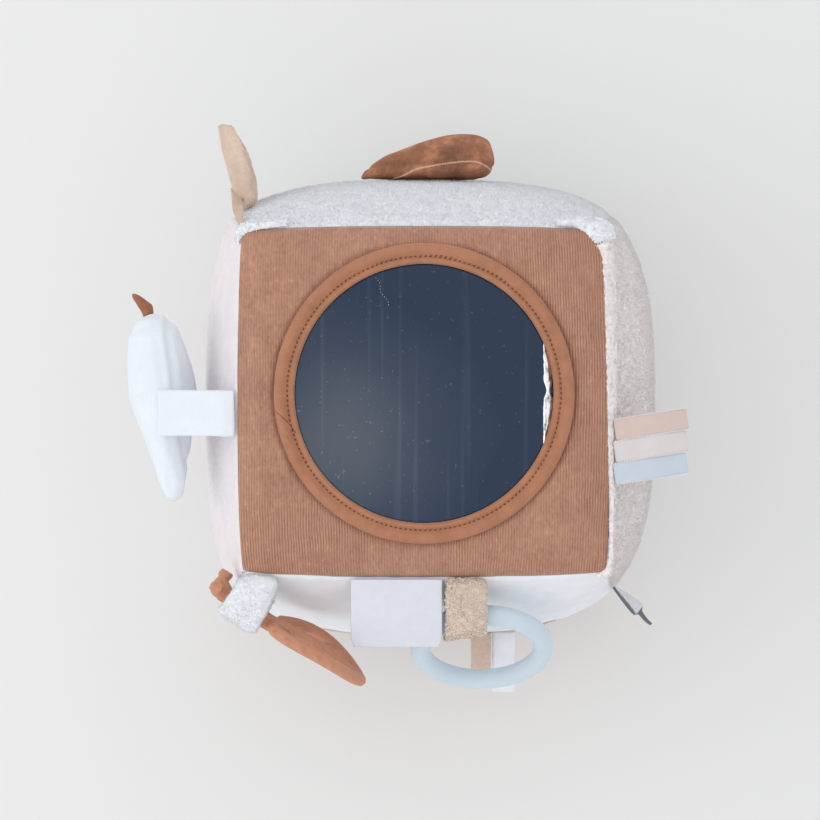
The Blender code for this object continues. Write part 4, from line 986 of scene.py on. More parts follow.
def dress_plush_side(block, side, finish, slot, node, long, tufts, seed):
    """One plush side: a padded ground in tufts and the pile that stands on it."""
    sizes, pile = block.cover, block.pile
    ground = panel(f"{side}_plush", sizes, side, 54, finish, inset=long * 0.40)
    subdivide(ground, 2)
    push(ground, gathers(sizes, side, -1, 1, 0.0005))
    push(ground, fleece(*tufts, seed))
    fur = add_pile(f"{side}_plush_pile", ground, finish, long, pile.count, pile, seed,
                   (0.0, 0.0, 0.25), 260.0)
    thicken(ground, sizes.cloth)
    finish_piece(ground, "block", slot, node, fill=0.8)
    finish_piece(fur, "block", slot)


def dress_collar(block, name, finish, slot, edge, seed):
    """Plush that spills over the edge of the knit, between an inner and an outer line of places."""
    sizes, pile = block.cover, block.pile
    half_x = sizes.seam_edge / 2 + sizes.top_bow
    half_y = sizes.seam_edge / 2 - sizes.top_draw + sizes.top_bow
    spans, taper, cells = len(edge) - 1, 0.8, 14
    sink, tuck, tuck_start = 0.0007, 0.0020, 0.55
    runs, columns = even(spans * cells), even(cells)
    points = []
    for run in runs:
        inner_x, inner_y, outer_x, outer_y = curve_at(edge, run)
        ends = smooth(min(run, 1 - run) * spans / taper)
        for across in columns:
            x, y = blend(inner_x, outer_x, across), blend(inner_y, outer_y, across)
            level = cover_point(sizes, max(-1, min(1, x / half_x)), max(-1, min(1, y / half_y)), 1).z
            roll = pile.collar * math.sin(math.pi * min(1.0, across * 1.15)) ** 0.7 * ends
            fall = tuck * smooth((across - tuck_start) / (1 - tuck_start))
            points.append(Vector((x, y, level + roll - sink - fall)))
    ground = make_piece(name, points, grid_faces(len(runs), len(columns)), finish)
    face_up(ground)
    subdivide(ground)
    push(ground, fleece(0.0018, 0.0004, seed))
    strands = round(area_of(ground) / pile.patch * pile.count)
    fur = add_pile(f"{name}_pile", ground, finish, pile.white, strands, pile, seed)
    thicken(ground, sizes.cloth * 0.5)
    finish_piece(ground, "block", slot)
    finish_piece(fur, "block", slot)


def dress_plush_sides(block):
    """White plush at the back, pink plush on the right, and both over the edge of the knit."""
    pile, colours = block.pile, block.colours
    white = plush_finish("white_plush", colours.white_plush)
    pink = plush_finish("pink_plush", colours.pink_plush)
    dress_plush_side(block, "back", white, "white_plush", "back_panel", pile.white, (0.0030, 0.0006), 3)
    dress_plush_side(block, "right", pink, "pink_plush", "right_panel", pile.pink, (0.0022, 0.0009), 5)
    for name, finish, slot, edge, seed in (
            ("back_left_collar", white, "white_plush", BACK_LEFT_EDGE, 7),
            ("back_right_collar", white, "white_plush", BACK_RIGHT_EDGE, 8),
            ("right_collar", pink, "pink_plush", RIGHT_EDGE, 9)):
        dress_collar(block, name, finish, slot, edge, seed)


def dress_muslin_side(block):
    """Pale crinkled muslin on the left."""
    sizes = block.cover
    cloth = cloth_finish("pale_muslin", block.colours.muslin, 0.0007, 0.0004)
    side = panel("left_muslin", sizes, "left", 130, cloth)
    push(side, gathers(sizes, "left", -1, 1, 0.0004))
    push(side, ripple(seed=1.0, **MUSLIN))
    thicken(side, sizes.cloth)
    finish_piece(side, "block", "pale_muslin", "left_panel", fill=0.8)


def front_folds(point):
    """Depth of the cotton front's soft folds, down from its top seam and in from its corners."""
    slant = point.x + 0.55 * (point.z - 0.12) * math.copysign(1.0, point.x)
    fold = rough(Vector((slant, 0.0, point.z)), 0.021, 11.0, (1.0, 1.0, 0.30))
    corner = smooth((abs(point.x) - 0.015) / 0.05)
    edge = smooth((0.150 - point.z) / 0.012) * smooth((0.080 - abs(point.x)) / 0.012)
    return 0.0009 * fold * (0.35 + 0.65 * corner) * edge


def dress_front(block):
    """White cotton above the cross seam and clay muslin below it."""
    sizes, colours = block.cover, block.colours
    cotton = cloth_finish("white_cotton", colours.cotton, 0.00045)
    clay = cloth_finish("clay_muslin", colours.clay, 0.0007, 0.0004)
    upper = panel("front_cotton", sizes, "front", 110, cotton, low=0.0)
    push(upper, front_folds)
    push(upper, gathers(sizes, "front", 0, 1, 0.00035))
    thicken(upper, sizes.cloth)
    finish_piece(upper, "block", "white_cotton", "front_upper_panel", fill=0.8)
    lower = panel("front_clay", sizes, "front", 110, clay, high=0.0)
    push(lower, gathers(sizes, "front", -1, 0, 0.0005))
    push(lower, ripple(seed=2.0, **MUSLIN))
    thicken(lower, sizes.cloth)
    finish_piece(lower, "block", "clay_muslin", "front_lower_panel", fill=0.8)


def dress_hem(block):
    """Clay muslin rolled over the cross seam, which shows under the edge of the cotton."""
    sizes = block.cover
    clay = cloth_finish("hem_muslin", block.colours.hem, 0.0007, 0.0003)
    sides, near, taper, thick, thinnest = 10, 0.001, 0.12, 0.0010, 0.0002
    stand_out, droop, tallness = 0.0004, 0.0007, 1.4
    runs = even(200, -0.60, 0.68)
    points = []
    for u in runs:
        along = side_point(sizes, "front", u + near, 0) - side_point(sizes, "front", u - near, 0)
        out = along.normalized().cross(UP).normalized()
        middle = side_point(sizes, "front", u, 0) + out * stand_out - UP * droop
        ends = smooth(min(u - runs[0], runs[-1] - u) / taper)
        radius = thick + 0.0005 * rough(middle, 0.009, 2.0) + 0.0002 * rough(middle, 0.0022, 4.0)
        radius = max(thinnest, ends * radius)
        points += [middle + radius * (out * math.cos(turn) + UP * tallness * math.sin(turn))
                   for turn in turns(sides)]
    hem = make_piece("cross_hem", points, grid_faces(len(runs), sides, round_columns=True), clay)
    turn_out(hem)
    finish_piece(hem, "block", "clay_muslin")


def dress_base(block):
    """Plain knit base, flat where the block rests."""
    sizes = block.cover
    knit = jersey_finish("base_knit", block.colours.knit)
    base = panel("base_cloth", sizes, "base", 72, knit, pressure=0.0)
    thicken(base, sizes.cloth)
    finish_piece(base, "block", "base_knit", "base_panel", fill=0.8)


def window():
    """Middle of the mirror's window at floor level, and the radius of its tape's outer edge."""
    low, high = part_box("mirror_binding")
    return Vector(((low.x + high.x) / 2, (low.y + high.y) / 2, 0.0)), (high.x - low.x) / 2


def rib_height(place, phase):
    """Height of the knit from 0 to 1: the ribs wander, and wear smooth towards the back left."""
    slip = 0.9 * rough(place, 0.045, 4.0) + 0.30 * rough(place, 0.011, 5.0) + 0.16 * rough(place, 0.004, 6.0)
    rib = (0.5 + 0.5 * math.cos(2 * math.pi * (phase + slip))) ** 0.7
    worn = smooth(0.5 + 0.9 * rough(place, 0.034, 12.0) - 4.0 * (place.x - place.y))
    rib = blend(rib, 0.62 + 0.30 * rough(place, 0.0013, 9.0), 0.15 + 0.60 * worn)
    return rib * (0.75 + 0.25 * rough(place, 0.006, 8.0, (1.0, 0.5, 1.0)))


def dress_top(block):
    """Rib-knit top with its ribs as real ridges, stretched from the seams to the mirror's tape."""
    sizes, knit = block.cover, block.knit
    finish = knit_finish("rib_knit", block.colours.knit, knit)
    centre, outer = window()
    ribs, steps_per_rib, calm_edge = round(sizes.seam_edge / knit.rib_pitch), 4, 0.01
    dent, dent_width = 0.0011, 0.0013
    us, vs = even(ribs * steps_per_rib, -1.0, 1.0), even(110, -1.0, 1.0)
    points, heights = [], []
    for u in us:
        for v in vs:
            place = cover_point(sizes, u, v, 1)
            rib = rib_height(place, u * ribs / 2)
            calm = smooth(min(1 - abs(u), 1 - abs(v)) * sizes.seam_edge / 2 / calm_edge)
            place.z += knit.rib_depth * (rib - 0.5) + knit.wave * rough(place, 0.022, 2.0) * calm
            gap = math.hypot(place.x - centre.x, place.y - centre.y) - outer
            place.z -= rolled(sizes, u, v) + dent * math.exp(-(gap / dent_width) ** 2)
            points.append(place)
            heights.append(rib)
    faces = []
    for face in grid_faces(len(us), len(vs)):
        middle = points[face[0]].lerp(points[face[2]], 0.5)
        if math.hypot(middle.x - centre.x, middle.y - centre.y) > outer - TAPE_OVERLAP:
            faces.append(face[::-1])
    top = make_piece("knit_top", points, faces, finish)
    face_up(top)
    # Rib heights, which the knit's finish turns into painted shade in the valleys
    store_values(top, "rib", heights)
    shape = bmesh.new()
    shape.from_mesh(top.data)
    bmesh.ops.delete(shape, geom=[vert for vert in shape.verts if not vert.link_faces], context="VERTS")
    shape.to_mesh(top.data)
    shape.free()
    thicken(top, sizes.cloth)
    finish_piece(top, "block", "rib_knit", "mirror_panel", fill=0.8)


def dress_tape(block, groove):
    """Rolled tape round the mirror, with the groove of its seam and the join of its ends."""
    knit = block.knit
    centre, outer = window()
    lip, top, film = outer - TAPE_WIDTH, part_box("mirror_binding")[1].z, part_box("mirror_film")[1].z
    cloth = jersey_finish("binding_tape", block.colours.tape)
    bulge, thick, sides = knit.tape_bulge, 0.0006, 420
    join_width, join_slant, sway = 0.010, 3.0, 0.0006
    profile = [
        (lip + 0.0016, film + 0.0003), (lip + 0.0003, film + 0.0008), (lip, top - 0.0018),
        (lip + 0.0003, top - 0.0004), (lip + 0.0010, top + 0.0003), (lip + 0.0020, top + 0.0003),
        (groove - 0.0005, top - 0.0001), (groove, top - 0.0005), (groove + 0.0005, top - 0.0001),
        (groove + 0.0015, top + 0.55 * bulge), (groove + 0.0028, top + 0.85 * bulge),
        (groove + 0.0040, top + 0.70 * bulge), (outer - 0.0002, top + 0.20 * bulge),
        (outer + 0.0003, top - 0.0008), (outer - 0.0001, top - 0.0020), (outer - 0.0008, top - 0.0034),
    ]
    points = []
    for turn in turns(sides):
        out = around(turn)
        puckers = 0.5 + 0.5 * math.cos(turn * TAPE_PUCKERS + 3.0 * rough(out, 0.3, 4.0))
        for radius, level in profile:
            above = smooth((level - (top - 0.0008)) / bulge)
            past = turn - (knit.join_turn + (radius - groove) / outer * join_slant)
            join = math.exp(-(past / join_width) ** 2) - 0.5 * math.exp(-((past - 0.03) / 0.022) ** 2)
            spot = out * radius
            wave = 0.45 * rough(spot, 0.012, 1.0) + 0.25 * rough(spot, 0.005, 3.0)
            place = centre + out * (radius + sway * above * rough(out * outer, 0.014, 9.0))
            place.z = level + above * bulge * (wave - 0.16 * puckers - 0.9 * join)
            points.append(place)
    tape = make_piece("mirror_tape", points, grid_faces(sides, len(profile), round_rows=True), cloth)
    face_up(tape, len(profile) // 2)
    subdivide(tape)
    thicken(tape, thick)
    finish_piece(tape, "block", "binding_tape", "mirror_binding", fill=0.7)
    return tape


def dress_tape_stitches(block, groove, tape):
    """Stitches in the tape's groove, a short second row beside them, and the sewn join."""
    knit = block.knit
    centre = window()[0]
    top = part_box("mirror_binding")[1].z
    thread = jersey_finish("sewing_thread", block.colours.thread)
    size = (knit.thread_pitch * 0.62, knit.thread, knit.thread)
    for row, (shift, first, last) in enumerate(((0.0, 0.0, 360.0), (0.0007, 52.0, 124.0))):
        line = []
        for turn in [math.radians(degrees) for degrees in even(round(last - first) * 2, first, last)]:
            radius = groove + shift + 0.00025 * rough(around(turn) + UP * row, 0.25, 2.0)
            line.append(centre + Vector((radius * math.cos(turn), radius * math.sin(turn), top - 0.0002)))
        seam = add_stitches(f"tape_stitches_{row + 1}", line, thread, knit.thread_pitch, size,
                            stray=0.50, seed=row, slant=0.12)
        finish_piece(seam, "block", "binding_tape")
    skin, bow = surface_of(tape), 0.0007
    crease = []
    for part in even(24):
        spot = Vector(TAPE_JOIN[0]).lerp(Vector(TAPE_JOIN[1]), part)
        spot.y += bow * math.sin(math.pi * part)
        crease.append(Vector((spot.x, spot.y, level_at(skin, spot, top))))
    join = add_stitches("tape_join", crease, thread, 0.0008, (0.0011, 0.0003, 0.0003),
                        stray=0.08, seed=7)
    finish_piece(join, "block", "binding_tape")


def dress_film():
    """Flexible film of the mirror, as rings round its middle."""
    centre = window()[0]
    low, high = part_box("mirror_film")
    reach, rings, sides = (high.x - low.x) / 2, 40, 180
    disc = [centre + Vector((reach * part * math.cos(turn), reach * part * math.sin(turn), high.z))
            for part in even(rings)[1:] for turn in turns(sides)]
    disc.append(centre + UP * high.z)
    faces = grid_faces(rings, sides, round_columns=True)
    faces += [(index, (index + 1) % sides, len(disc) - 1) for index in range(sides)]
    film = make_piece("mirror_sheet", disc, faces, mirror_finish("mirror_film", centre))
    turn_out(film)
    face_up(film)
    thicken(film, high.z - low.z)
    film.data.set_sharp_from_angle(angle=math.radians(40))
    finish_piece(film, "block", "mirror_film", "mirror_film")


def dress_foil():
    """Bare crumpled foil at the film's right edge, between the film and the tape."""
    centre, outer = window()
    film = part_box("mirror_film")[1].z
    rim, start, end = outer - TAPE_WIDTH + 0.0006, centre.y + 0.0237, centre.y - 0.0270
    inner_edge, pinch_place, pinch_width, lift, arch = 0.0482, 0.44, 0.05, 0.0003, 0.0004
    rows, columns, points = even(64), even(6), []
    for down in rows:
        y = blend(start, end, down)
        reach = math.sqrt(max(0.0, rim ** 2 - (y - centre.y) ** 2))
        inner = inner_edge + 0.0003 * rough(Vector((0, y, 0)), 0.006, 1.0)
        pinch = 1.0 - 0.55 * math.exp(-((down - pinch_place) / pinch_width) ** 2)
        width = max(0.0001, reach - inner) * pinch
        for across in columns:
            x = inner + (reach - inner) * (1 - pinch) * 0.5 + width * across
            crumple = abs(0.0004 * rough(Vector((across * 0.004, y, 0)), 0.0034, 5.0))
            points.append(Vector((x, y, film + lift + crumple + arch * math.sin(math.pi * across))))
    strip = make_piece("foil_edge", points, grid_faces(len(rows), len(columns)), foil_finish("foil_edge"))
    face_up(strip)
    thicken(strip, 0.0002)
    finish_piece(strip, "block", "mirror_film")


def dress_scratch():
    """Short broken scratch on the film."""
    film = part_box("mirror_film")[1].z
    finish = new_finish("scratch", tone(198, 204, 214), 0.6)[0]
    first, last = Vector(SCRATCH[0]), Vector(SCRATCH[1])
    waves, sway, lift = 9, 0.0006, 0.00003
    line = [first.lerp(last, step) + Vector((sway * math.sin(waves * step), 0, film + lift))
            for step in even(40)]
    scratch = add_stitches("mirror_scratch", line, finish, 0.00125, (0.0007, 0.00018, 0.00006),
                           stray=0.5, seed=4)
    finish_piece(scratch, "block", "mirror_film")


def dress_mirror(block):
    """Tape round the mirror with its stitches, the film, its foil edge and a scratch."""
    groove = window()[1] - TAPE_WIDTH + block.knit.seam_inset
    tape = dress_tape(block, groove)
    dress_tape_stitches(block, groove, tape)
    dress_film()
    dress_foil()
    dress_scratch()


def build_cover_seams(block):
    """Shut the dark line of every seam of the cover with its sewn allowance, painted darker as shade in the
    seam.
    """
    sizes = block.cover
    # Painted shade: the allowance is the cotton darkened to about half, for the shade down in the seams
    allowance = jersey_finish("seam_allowance_shade", shade(block.colours.cotton, 0.55))
    inset = sizes.seam_sink + sizes.cloth * 0.4
    steps = even(60, -1, 1)
    lines = []
    for first, level_side, upright_side in ((-1.0, "front", "left"), (1.0, "back", "right")):
        for second in (-1.0, 1.0):
            lines.append([cover_point(sizes, first, second, step, inset) for step in steps])
            for side in (level_side, upright_side):
                lines.append([side_point(sizes, side, step, second, inset) for step in steps])
    for index, line in enumerate(lines):
        name = f"seam_{index + 1}"
        curve = bpy.data.curves.new(name, "CURVE")
        curve.dimensions = "3D"
        curve.bevel_depth = sizes.cloth * 0.75
        curve.bevel_resolution = 2
        run = curve.splines.new("POLY")
        run.points.add(len(line) - 1)
        for spot, place in zip(run.points, line):
            spot.co = (*place, 1.0)
        curve.materials.append(allowance)
        guide = show(name, curve)
        graph = bpy.context.evaluated_depsgraph_get()
        mesh = bpy.data.meshes.new_from_object(guide.evaluated_get(graph))
        bpy.data.objects.remove(guide)
        mesh.shade_smooth()
        finish_piece(show(name, mesh), "block", "white_cotton")


# Loops, toys and ribbons


def hinge(joint):
    """Where a joint's axis lies, and its direction."""
    return Vector(JOINTS[joint]["pos_m"]), Vector(JOINTS[joint]["axis"]).normalized()


def hang(piece, joint, out, slot, *nodes, reach=0.005):
    """Bake the placing of a piece that is sewn into the cover, and hide the frame nodes that it stands for.
    """
    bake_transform(piece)
    declare(nodes)


def folded_strip(name, joint, out, size, material, seed):
    """Folded ribbon of (width, reach, drop, ply, gap): top ply, rounded fold and under ply."""
    width, reach, drop, ply, gap = size
    across = UP.cross(out).normalized()
    clear, cut, cut_depth, cup_depth, wave_height = 0.0003, 0.0025, 0.06, 0.00035, 0.0006
    start = hinge(joint)[0] + out * (clear + ply)
    columns = even(12, -1.0, 1.0)
    runs = [("top", part) for part in even(44)] + [("turn", part) for part in even(8)[1:-1]]
    runs += [("low", 1 - part) for part in even(44)]
    points = []
    for kind, part in runs:
        run = 1.0 if kind == "turn" else part
        if kind == "turn":
            bend = math.pi / 2 - math.pi * part
            ply_side = out * math.cos(bend) * gap / 2 + UP * math.sin(bend) * gap / 2
        elif kind == "top":
            ply_side = UP * (gap / 2) * (1.0 + 0.5 * math.sin(math.pi * run))
        else:
            ply_side = UP * (-gap / 2)
        for spread in columns:
            corner = cut_depth * smooth((run * reach - (reach - cut)) / cut) * abs(spread) ** 6
            cup = cup_depth * spread * spread * smooth(run)
            wave = wave_height * rough(Vector((run * reach, spread * 0.003, 0)), 0.012, seed)
            middle = start + out * reach * run * (1 - gap / reach) - UP * (drop * run * run + cup - wave)
            points.append(middle + ply_side + across * spread * width / 2 * (1 - corner))
    strip = make_piece(name, points, grid_faces(len(runs), len(columns)), material)
    face_up(strip)
    thicken(strip, ply, 0.0)
    return strip


def picot_line(strip, root, side_place, out, reach):
    """Line of places on top of a strip, along one of its edges."""
    points, search, sink = coordinates(strip), 0.0009, 0.0001
    line = []
    for part in even(60, 0.06, 0.985):
        place = root + out * (reach * part) + side_place
        near = np.linalg.norm(points[:, :2] - np.array(place[:2]), axis=1) < search
        level = points[near][:, 2].max() if near.any() else place.z
        line.append(Vector((place.x, place.y, level - sink)))
    return line


def dress_ribbons(block):
    """Three folded satin ribbons with picot edges, on the right."""
    colours = block.colours
    width, ply, gap, slack = 0.0086, 0.00042, 0.0014, 0.0018
    pitch, picot, short = 0.00115, (0.00075, 0.00062, 0.00060), 0.0010
    out = hinge("ribbon_pink_hinge")[1].cross(UP).normalized()
    out *= math.copysign(1.0, out.x)
    across = UP.cross(out).normalized()
    white = satin_finish("picot", tone(242, 240, 240))
    for index, (name, colour) in enumerate((("beige", colours.beige), ("pink", colours.pink),
                                            ("blue", colours.blue))):
        node, joint, slot = f"ribbon_{name}", f"ribbon_{name}_hinge", f"satin_{name}"
        low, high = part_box(node)
        root = hinge(joint)[0]
        reach = (high.x - root.x) / out.x - short
        size = (width, reach, high.z - low.z - slack, ply, gap)
        strip = folded_strip(f"{node}_strip", joint, out, size, satin_finish(slot, colour), 3.0 + index)
        for side in (0, 1):
            line = picot_line(strip, root, across * (side * width - width / 2), out, reach)
            picots = add_stitches(f"{node}_picots_{side + 1}", line, white, pitch, picot,
                                  stray=0.3, seed=index * 2 + side)
            hang(picots, joint, out, slot)
        hang(strip, joint, out, slot, node)


def dress_label(block):
    """Bare white satin label, folded over and cut square."""
    low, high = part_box("care_label")
    ply, gap, slack, short, fold = 0.00036, 0.0014, 0.0018, 0.0008, 0.002
    width, reach = high.x - low.x, hinge("label_hinge")[0].y - low.y - short
    cloth = satin_finish("satin_white", block.colours.label)
    size = (width, reach, high.z - low.z - slack, ply, gap)
    strip = folded_strip("label_cloth", "label_hinge", FRONT, size, cloth, 9.0)
    subdivide(strip)
    hang(strip, "label_hinge", FRONT, "satin_white", "care_label")


def dress_corner_ribbon(block):
    """Twisted narrow ribbon in the front right seam, pale with a dark grey edge."""
    low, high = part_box("corner_ribbon")
    place = hinge("corner_ribbon_hinge")[0]
    out, straight, bend = around(math.radians(-42)), 0.0155, 0.0050
    material, tree, shader = new_finish("satin_grey", block.colours.grey, 0.45, sheen_weight=0.2)
    dyed(tree, shader, between(tree, attribute(tree, "edge"), (0.70, block.colours.grey),
                               (0.80, tone(96, 97, 104))))
    emboss(tree, shader, (weave(tree, 0.0004, "Z"), 0.2, 0.0001))
    ribbon = solid_copy("corner_ribbon_strip", "corner_ribbon", material)
    bevel = ribbon.modifiers.new("soft_edge", "BEVEL")
    bevel.width = 0.00022
    bevel.segments = 2
    bevel.limit_method = "ANGLE"
    subdivide(ribbon, 3)
    points = coordinates(ribbon)
    along = (points - np.array(place)) @ np.array(out)
    tail = np.clip((along - straight) / (along.max() - straight), 0.0, 1.0)
    put(ribbon, points + np.array(out.cross(UP))[None, :] * (bend * tail ** 1.5)[:, None])
    heights = np.clip((points[:, 2] - low.z) / (high.z - low.z), 0, 1)
    store_values(ribbon, "edge", np.maximum(heights, np.minimum(1.0, tail * 8)))
    hang(ribbon, "corner_ribbon_hinge", out, "satin_grey", "corner_ribbon", reach=0.004)


def dress_tabs(block):
    """Tan velour tab and small white tag in the cross seam of the front."""
    velour = velour_finish("tan_velour", block.colours.tan_velour)
    cotton = cloth_finish("tag_cotton", block.colours.cotton, 0.0005)
    for node, cloth, slot in (("front_tab", velour, "tan_velour"), ("front_tag", cotton, "white_cotton")):
        piece = body_copy(f"{node}_cloth", node, 0.00045, cloth, 3)
        push(piece, ripple(0.00025, 0.004, 5.0))
        hang(piece, f"{node}_hinge", FRONT, slot, node, reach=0.004)


def pull_end(piece, target, reach):
    """Draw the end of a piece that is nearest a place out towards it."""
    points = coordinates(piece)
    centre = points.mean(axis=0)
    way = np.array(target) - centre
    way[2] = 0.0
    way /= np.linalg.norm(way)
    along = (points - centre) @ way
    shares = np.clip(along / along.max(), 0.0, 1.0) ** 2
    put(piece, points + way * reach * shares[:, None])


def dress_bird(block):
    """White stuffed bird in two halves sewn along its back and belly, its beak and its strap."""
    cotton = cloth_finish("bird_cotton", tone(234, 241, 249), 0.0005, mottle=0.03)
    low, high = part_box("bird_body")
    turn, ridge = math.radians(7.5), 0.0068
    forward, side = Vector((-math.sin(turn), math.cos(turn), 0.0)), around(turn)
    middle = Vector((hinge("bird_swing")[0].x, (low.y + high.y) / 2, 0.0))
    bird = body_copy("bird_cloth", "bird_body", 0.0010, cotton, 2)
    push(bird, lambda point: 0.0003)
    inflate(bird, pressure=2.6, cap=0.0008)
    subdivide(bird)

    def seam(point):
        across, along = (point - middle).dot(side), (point - middle).dot(forward)
        line = abs(across - ridge + 0.0004 * rough(point, 0.02, 3.0))
        groove = -0.0008 * math.exp(-(line / 0.0010) ** 2)
        lip = 0.0004 * math.exp(-((line - 0.0022) / 0.0012) ** 2)
        gather = 0.00050 * rough(Vector((along, line * 0.35, point.z * 0.5)), 0.0042, 8.0)
        tail = smooth((-along - 0.010) / 0.014) * 0.0014 * rough(point, 0.0060, 6.0, (1.0, 0.55, 0.8))
        return groove + lip + gather * math.exp(-line / 0.006) + tail

    push(bird, seam)
    finish_piece(bird, "bird", "white_cotton", "bird_body", fill=0.9)
    brown = velour_finish("beak_velour", block.colours.brown_velour)
    beak = body_copy("beak_cloth", "bird_beak", 0.0005, brown, 3)
    push(beak, ripple(0.00025, 0.0025, 2.0))
    pull_end(beak, middle, 0.0030)
    finish_piece(beak, "bird", "brown_velour", "bird_beak", fill=0.9)
    strap = body_copy("strap_cloth", "bird_strap", 0.0006, cotton, 3)
    push(strap, ripple(0.0006, 0.009, 4.0, (0.4, 1.0, 1.0)))
    hang(strap, "strap_hinge", Vector((-1, 0, 0)), "white_cotton", "bird_strap")


def dress_ear(block):
    """Cupped tan velour ear with a rolled edge and a pleat where it is sewn in."""
    velour = velour_finish("ear_velour", block.colours.tan_velour)
    back = Vector((0, 1, 0))
    ear = body_copy("ear_cloth", "ear", 0.0010, velour, 4)
    inflate(ear, pressure=1.6, cap=0.0006)
    subdivide(ear)
    root_y = hinge("ear_hinge")[0].y

    def pleat(point):
        near = math.exp(-max(0.0, point.y - root_y) / 0.008)
        folds = rough(Vector((point.z * 2.2, point.x, point.y * 0.25)), 0.006, 5.0)
        return 0.0011 * folds * near + 0.0003 * rough(point, 0.008, 6.0)

    push(ear, pleat)
    pull_end(ear, Vector((0.0, 0.0, 0.0)), 0.0030)
    hang(ear, "ear_hinge", back, "tan_velour", "ear")
    # The ear's edge rolls over itself in a narrow fold that tapers to its tip
    inwards, outwards = Vector((0.94, 0.10, -0.33)), Vector((0.30, -0.30, 0.90))
    runs, columns, points = even(36), even(8), []
    for run in runs:
        edge = curve_at(EAR_EDGE, run)
        width = 0.0010 + 0.0038 * smooth(run * 1.6) * math.sqrt(max(0.0, 1.0 - run ** 6))
        for across in columns:
            curl = 0.0010 * math.sin(math.pi * across)
            curl += 0.0003 * rough(edge + UP * across * 0.004, 0.005, 6.0)
            points.append(edge + inwards * width * across + outwards * curl)
    fold = make_piece("ear_fold", points, grid_faces(len(runs), len(columns)), velour)
    thicken(fold, 0.0010, 0.0)
    hang(fold, "ear_hinge", back, "tan_velour")


def dress_velour_leaf(block):
    """Plump brown velour leaf with the ridge of its edge seam, painted lighter as a highlight."""
    # Strong painted highlights and shade in the velour's nap patches
    velour = velour_finish("brown_velour", block.colours.brown_velour, 1.8, 0.60)
    root_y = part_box("velour_leaf")[0].y
    leaf = body_copy("velour_leaf_cloth", "velour_leaf", 0.0016, velour, 5)
    inflate(leaf, pressure=2.4, cap=0.0008)
    subdivide(leaf)

    def seam(point):
        near = point.y - root_y
        line = -0.0006 * math.exp(-((near - 0.0055) / 0.0010) ** 2)
        gather = 0.0005 * rough(Vector((point.x, point.y * 0.3, point.z)), 0.0045, 3.0)
        return line + gather * math.exp(-max(0.0, near - 0.004) / 0.006) + 0.0003 * rough(point, 0.010, 2.0)

    push(leaf, seam)
    finish_piece(leaf, "leaf_pad", "brown_velour", "velour_leaf", fill=0.9)
    skin = surface_of(leaf)
    line = []
    for spot in [curve_at(LEAF_SEAM, part) for part in even(80)]:
        level = level_at(skin, spot, None)
        if level is not None:
            line.append(Vector((spot.x, spot.y, level)))
    # Painted highlight: the seam's ridge is coloured light tan where the light catches it
    light = velour_finish("leaf_seam_highlight", tone(216, 178, 148))
    ridge = add_stitches("velour_leaf_seam", line, light, 0.0011, (0.0014, 0.0010, 0.0008),
                         stray=0.7, seed=6)
    finish_piece(ridge, "leaf_pad", "brown_velour")


def plump_loop(name, node, seat, hole, puff, ease, material):
    """Plush loop whose plies have grown together, but for the hole round the toy's stem."""
    loop = body_copy(name, node, 0.0006, material, 2)
    centre, axis = seat

    def swell(point):
        away = point - centre
        return puff * smooth(((away - axis * away.dot(axis)).length - hole) / 0.0025)

    push(loop, swell)
    return even_out(loop, 0.0009, ease)


def dress_leaf_teether(block):
    """Terracotta silicone leaf in its white plush loop."""
    colours, pile, joint = block.colours, block.pile, "teether_loop_hinge"
    silicone = silicone_finish("leaf_silicone", colours.leaf, 0.04)
    leaf = body_copy("leaf_silicone", "leaf_teether", 0.00042, silicone, 6)
    finish_piece(leaf, "leaf", "leaf_silicone", "leaf_teether")
    white = plush_finish("loop_plush", colours.white_plush)
    ground = plump_loop("leaf_loop_cloth", "teether_loop", hinge("leaf_roll"), hole=0.0056,
                        puff=0.0014, ease=160, material=white)
    push(ground, fleece(0.0050, 0.0005, 7))
    strands = add_pile("leaf_loop_pile", ground, white, pile.loop, 7000, pile, seed=7)
    out = UP.cross(hinge(joint)[1]).normalized()
    hang(ground, joint, out, "white_plush", "teether_loop")
    hang(strands, joint, out, "white_plush")


def dress_ring(block):
    """Pale blue silicone ring with its parting line, in a loop of curly tan plush."""
    colours, pile, joint = block.colours, block.pile, "ring_loop_hinge"
    centre, axis = hinge("ring_spin")
    away = np.array([tuple(vert.co) for vert in NODES["teething_ring"].data.vertices]) - np.array(centre)
    radii = np.sqrt((away ** 2).sum(axis=1) - (away @ np.array(axis)) ** 2)
    radius, tube = float(radii.max() + radii.min()) / 2, float(radii.max() - radii.min()) / 2
    silicone = silicone_finish("ring_silicone", colours.ring, 0.02)
    first = axis.orthogonal().normalized()
    second = axis.cross(first)
    rings, sides, parting = 180, 40, 0.00012
    skin = []
    for turn in turns(rings):
        out = math.cos(turn) * first + math.sin(turn) * second
        for step, bend in enumerate(turns(sides)):
            thick = tube + (parting if step in (0, sides // 2) else 0.0)
            skin.append(centre + out * (radius + thick * math.cos(bend)) + axis * tube * math.sin(bend))
    ring = make_piece("ring_silicone", skin, grid_faces(rings, sides, True, True), silicone)
    turn_out(ring)
    finish_piece(ring, "ring", "ring_silicone", "teething_ring")

    wool = plush_finish("tan_curls", colours.tan_plush, 0.80)
    root = hinge(joint)[0]
    seat = min((centre + radius * (math.cos(turn) * first + math.sin(turn) * second)
                for turn in turns(360)), key=lambda spot: (spot - root).length)
    ground = plump_loop("ring_loop_cloth", "ring_loop", (seat, Vector((1.0, 0.0, 0.0))),
                        hole=tube + 0.0018, puff=0.0004, ease=8, material=wool)
    push(ground, lambda point: 0.0004 * rough(point, 0.004, 2.0) - 0.0002)
    curls = grow("ring_loop_curls", ground, shared_tree(curl_tree), strands=3200 / area_of(ground),
                 width=pile.curl / 2, thickness=pile.wool, seed=5, finish=wool)
    hang(ground, joint, FRONT, "tan_plush", "ring_loop")
    hang(curls, joint, FRONT, "tan_plush")


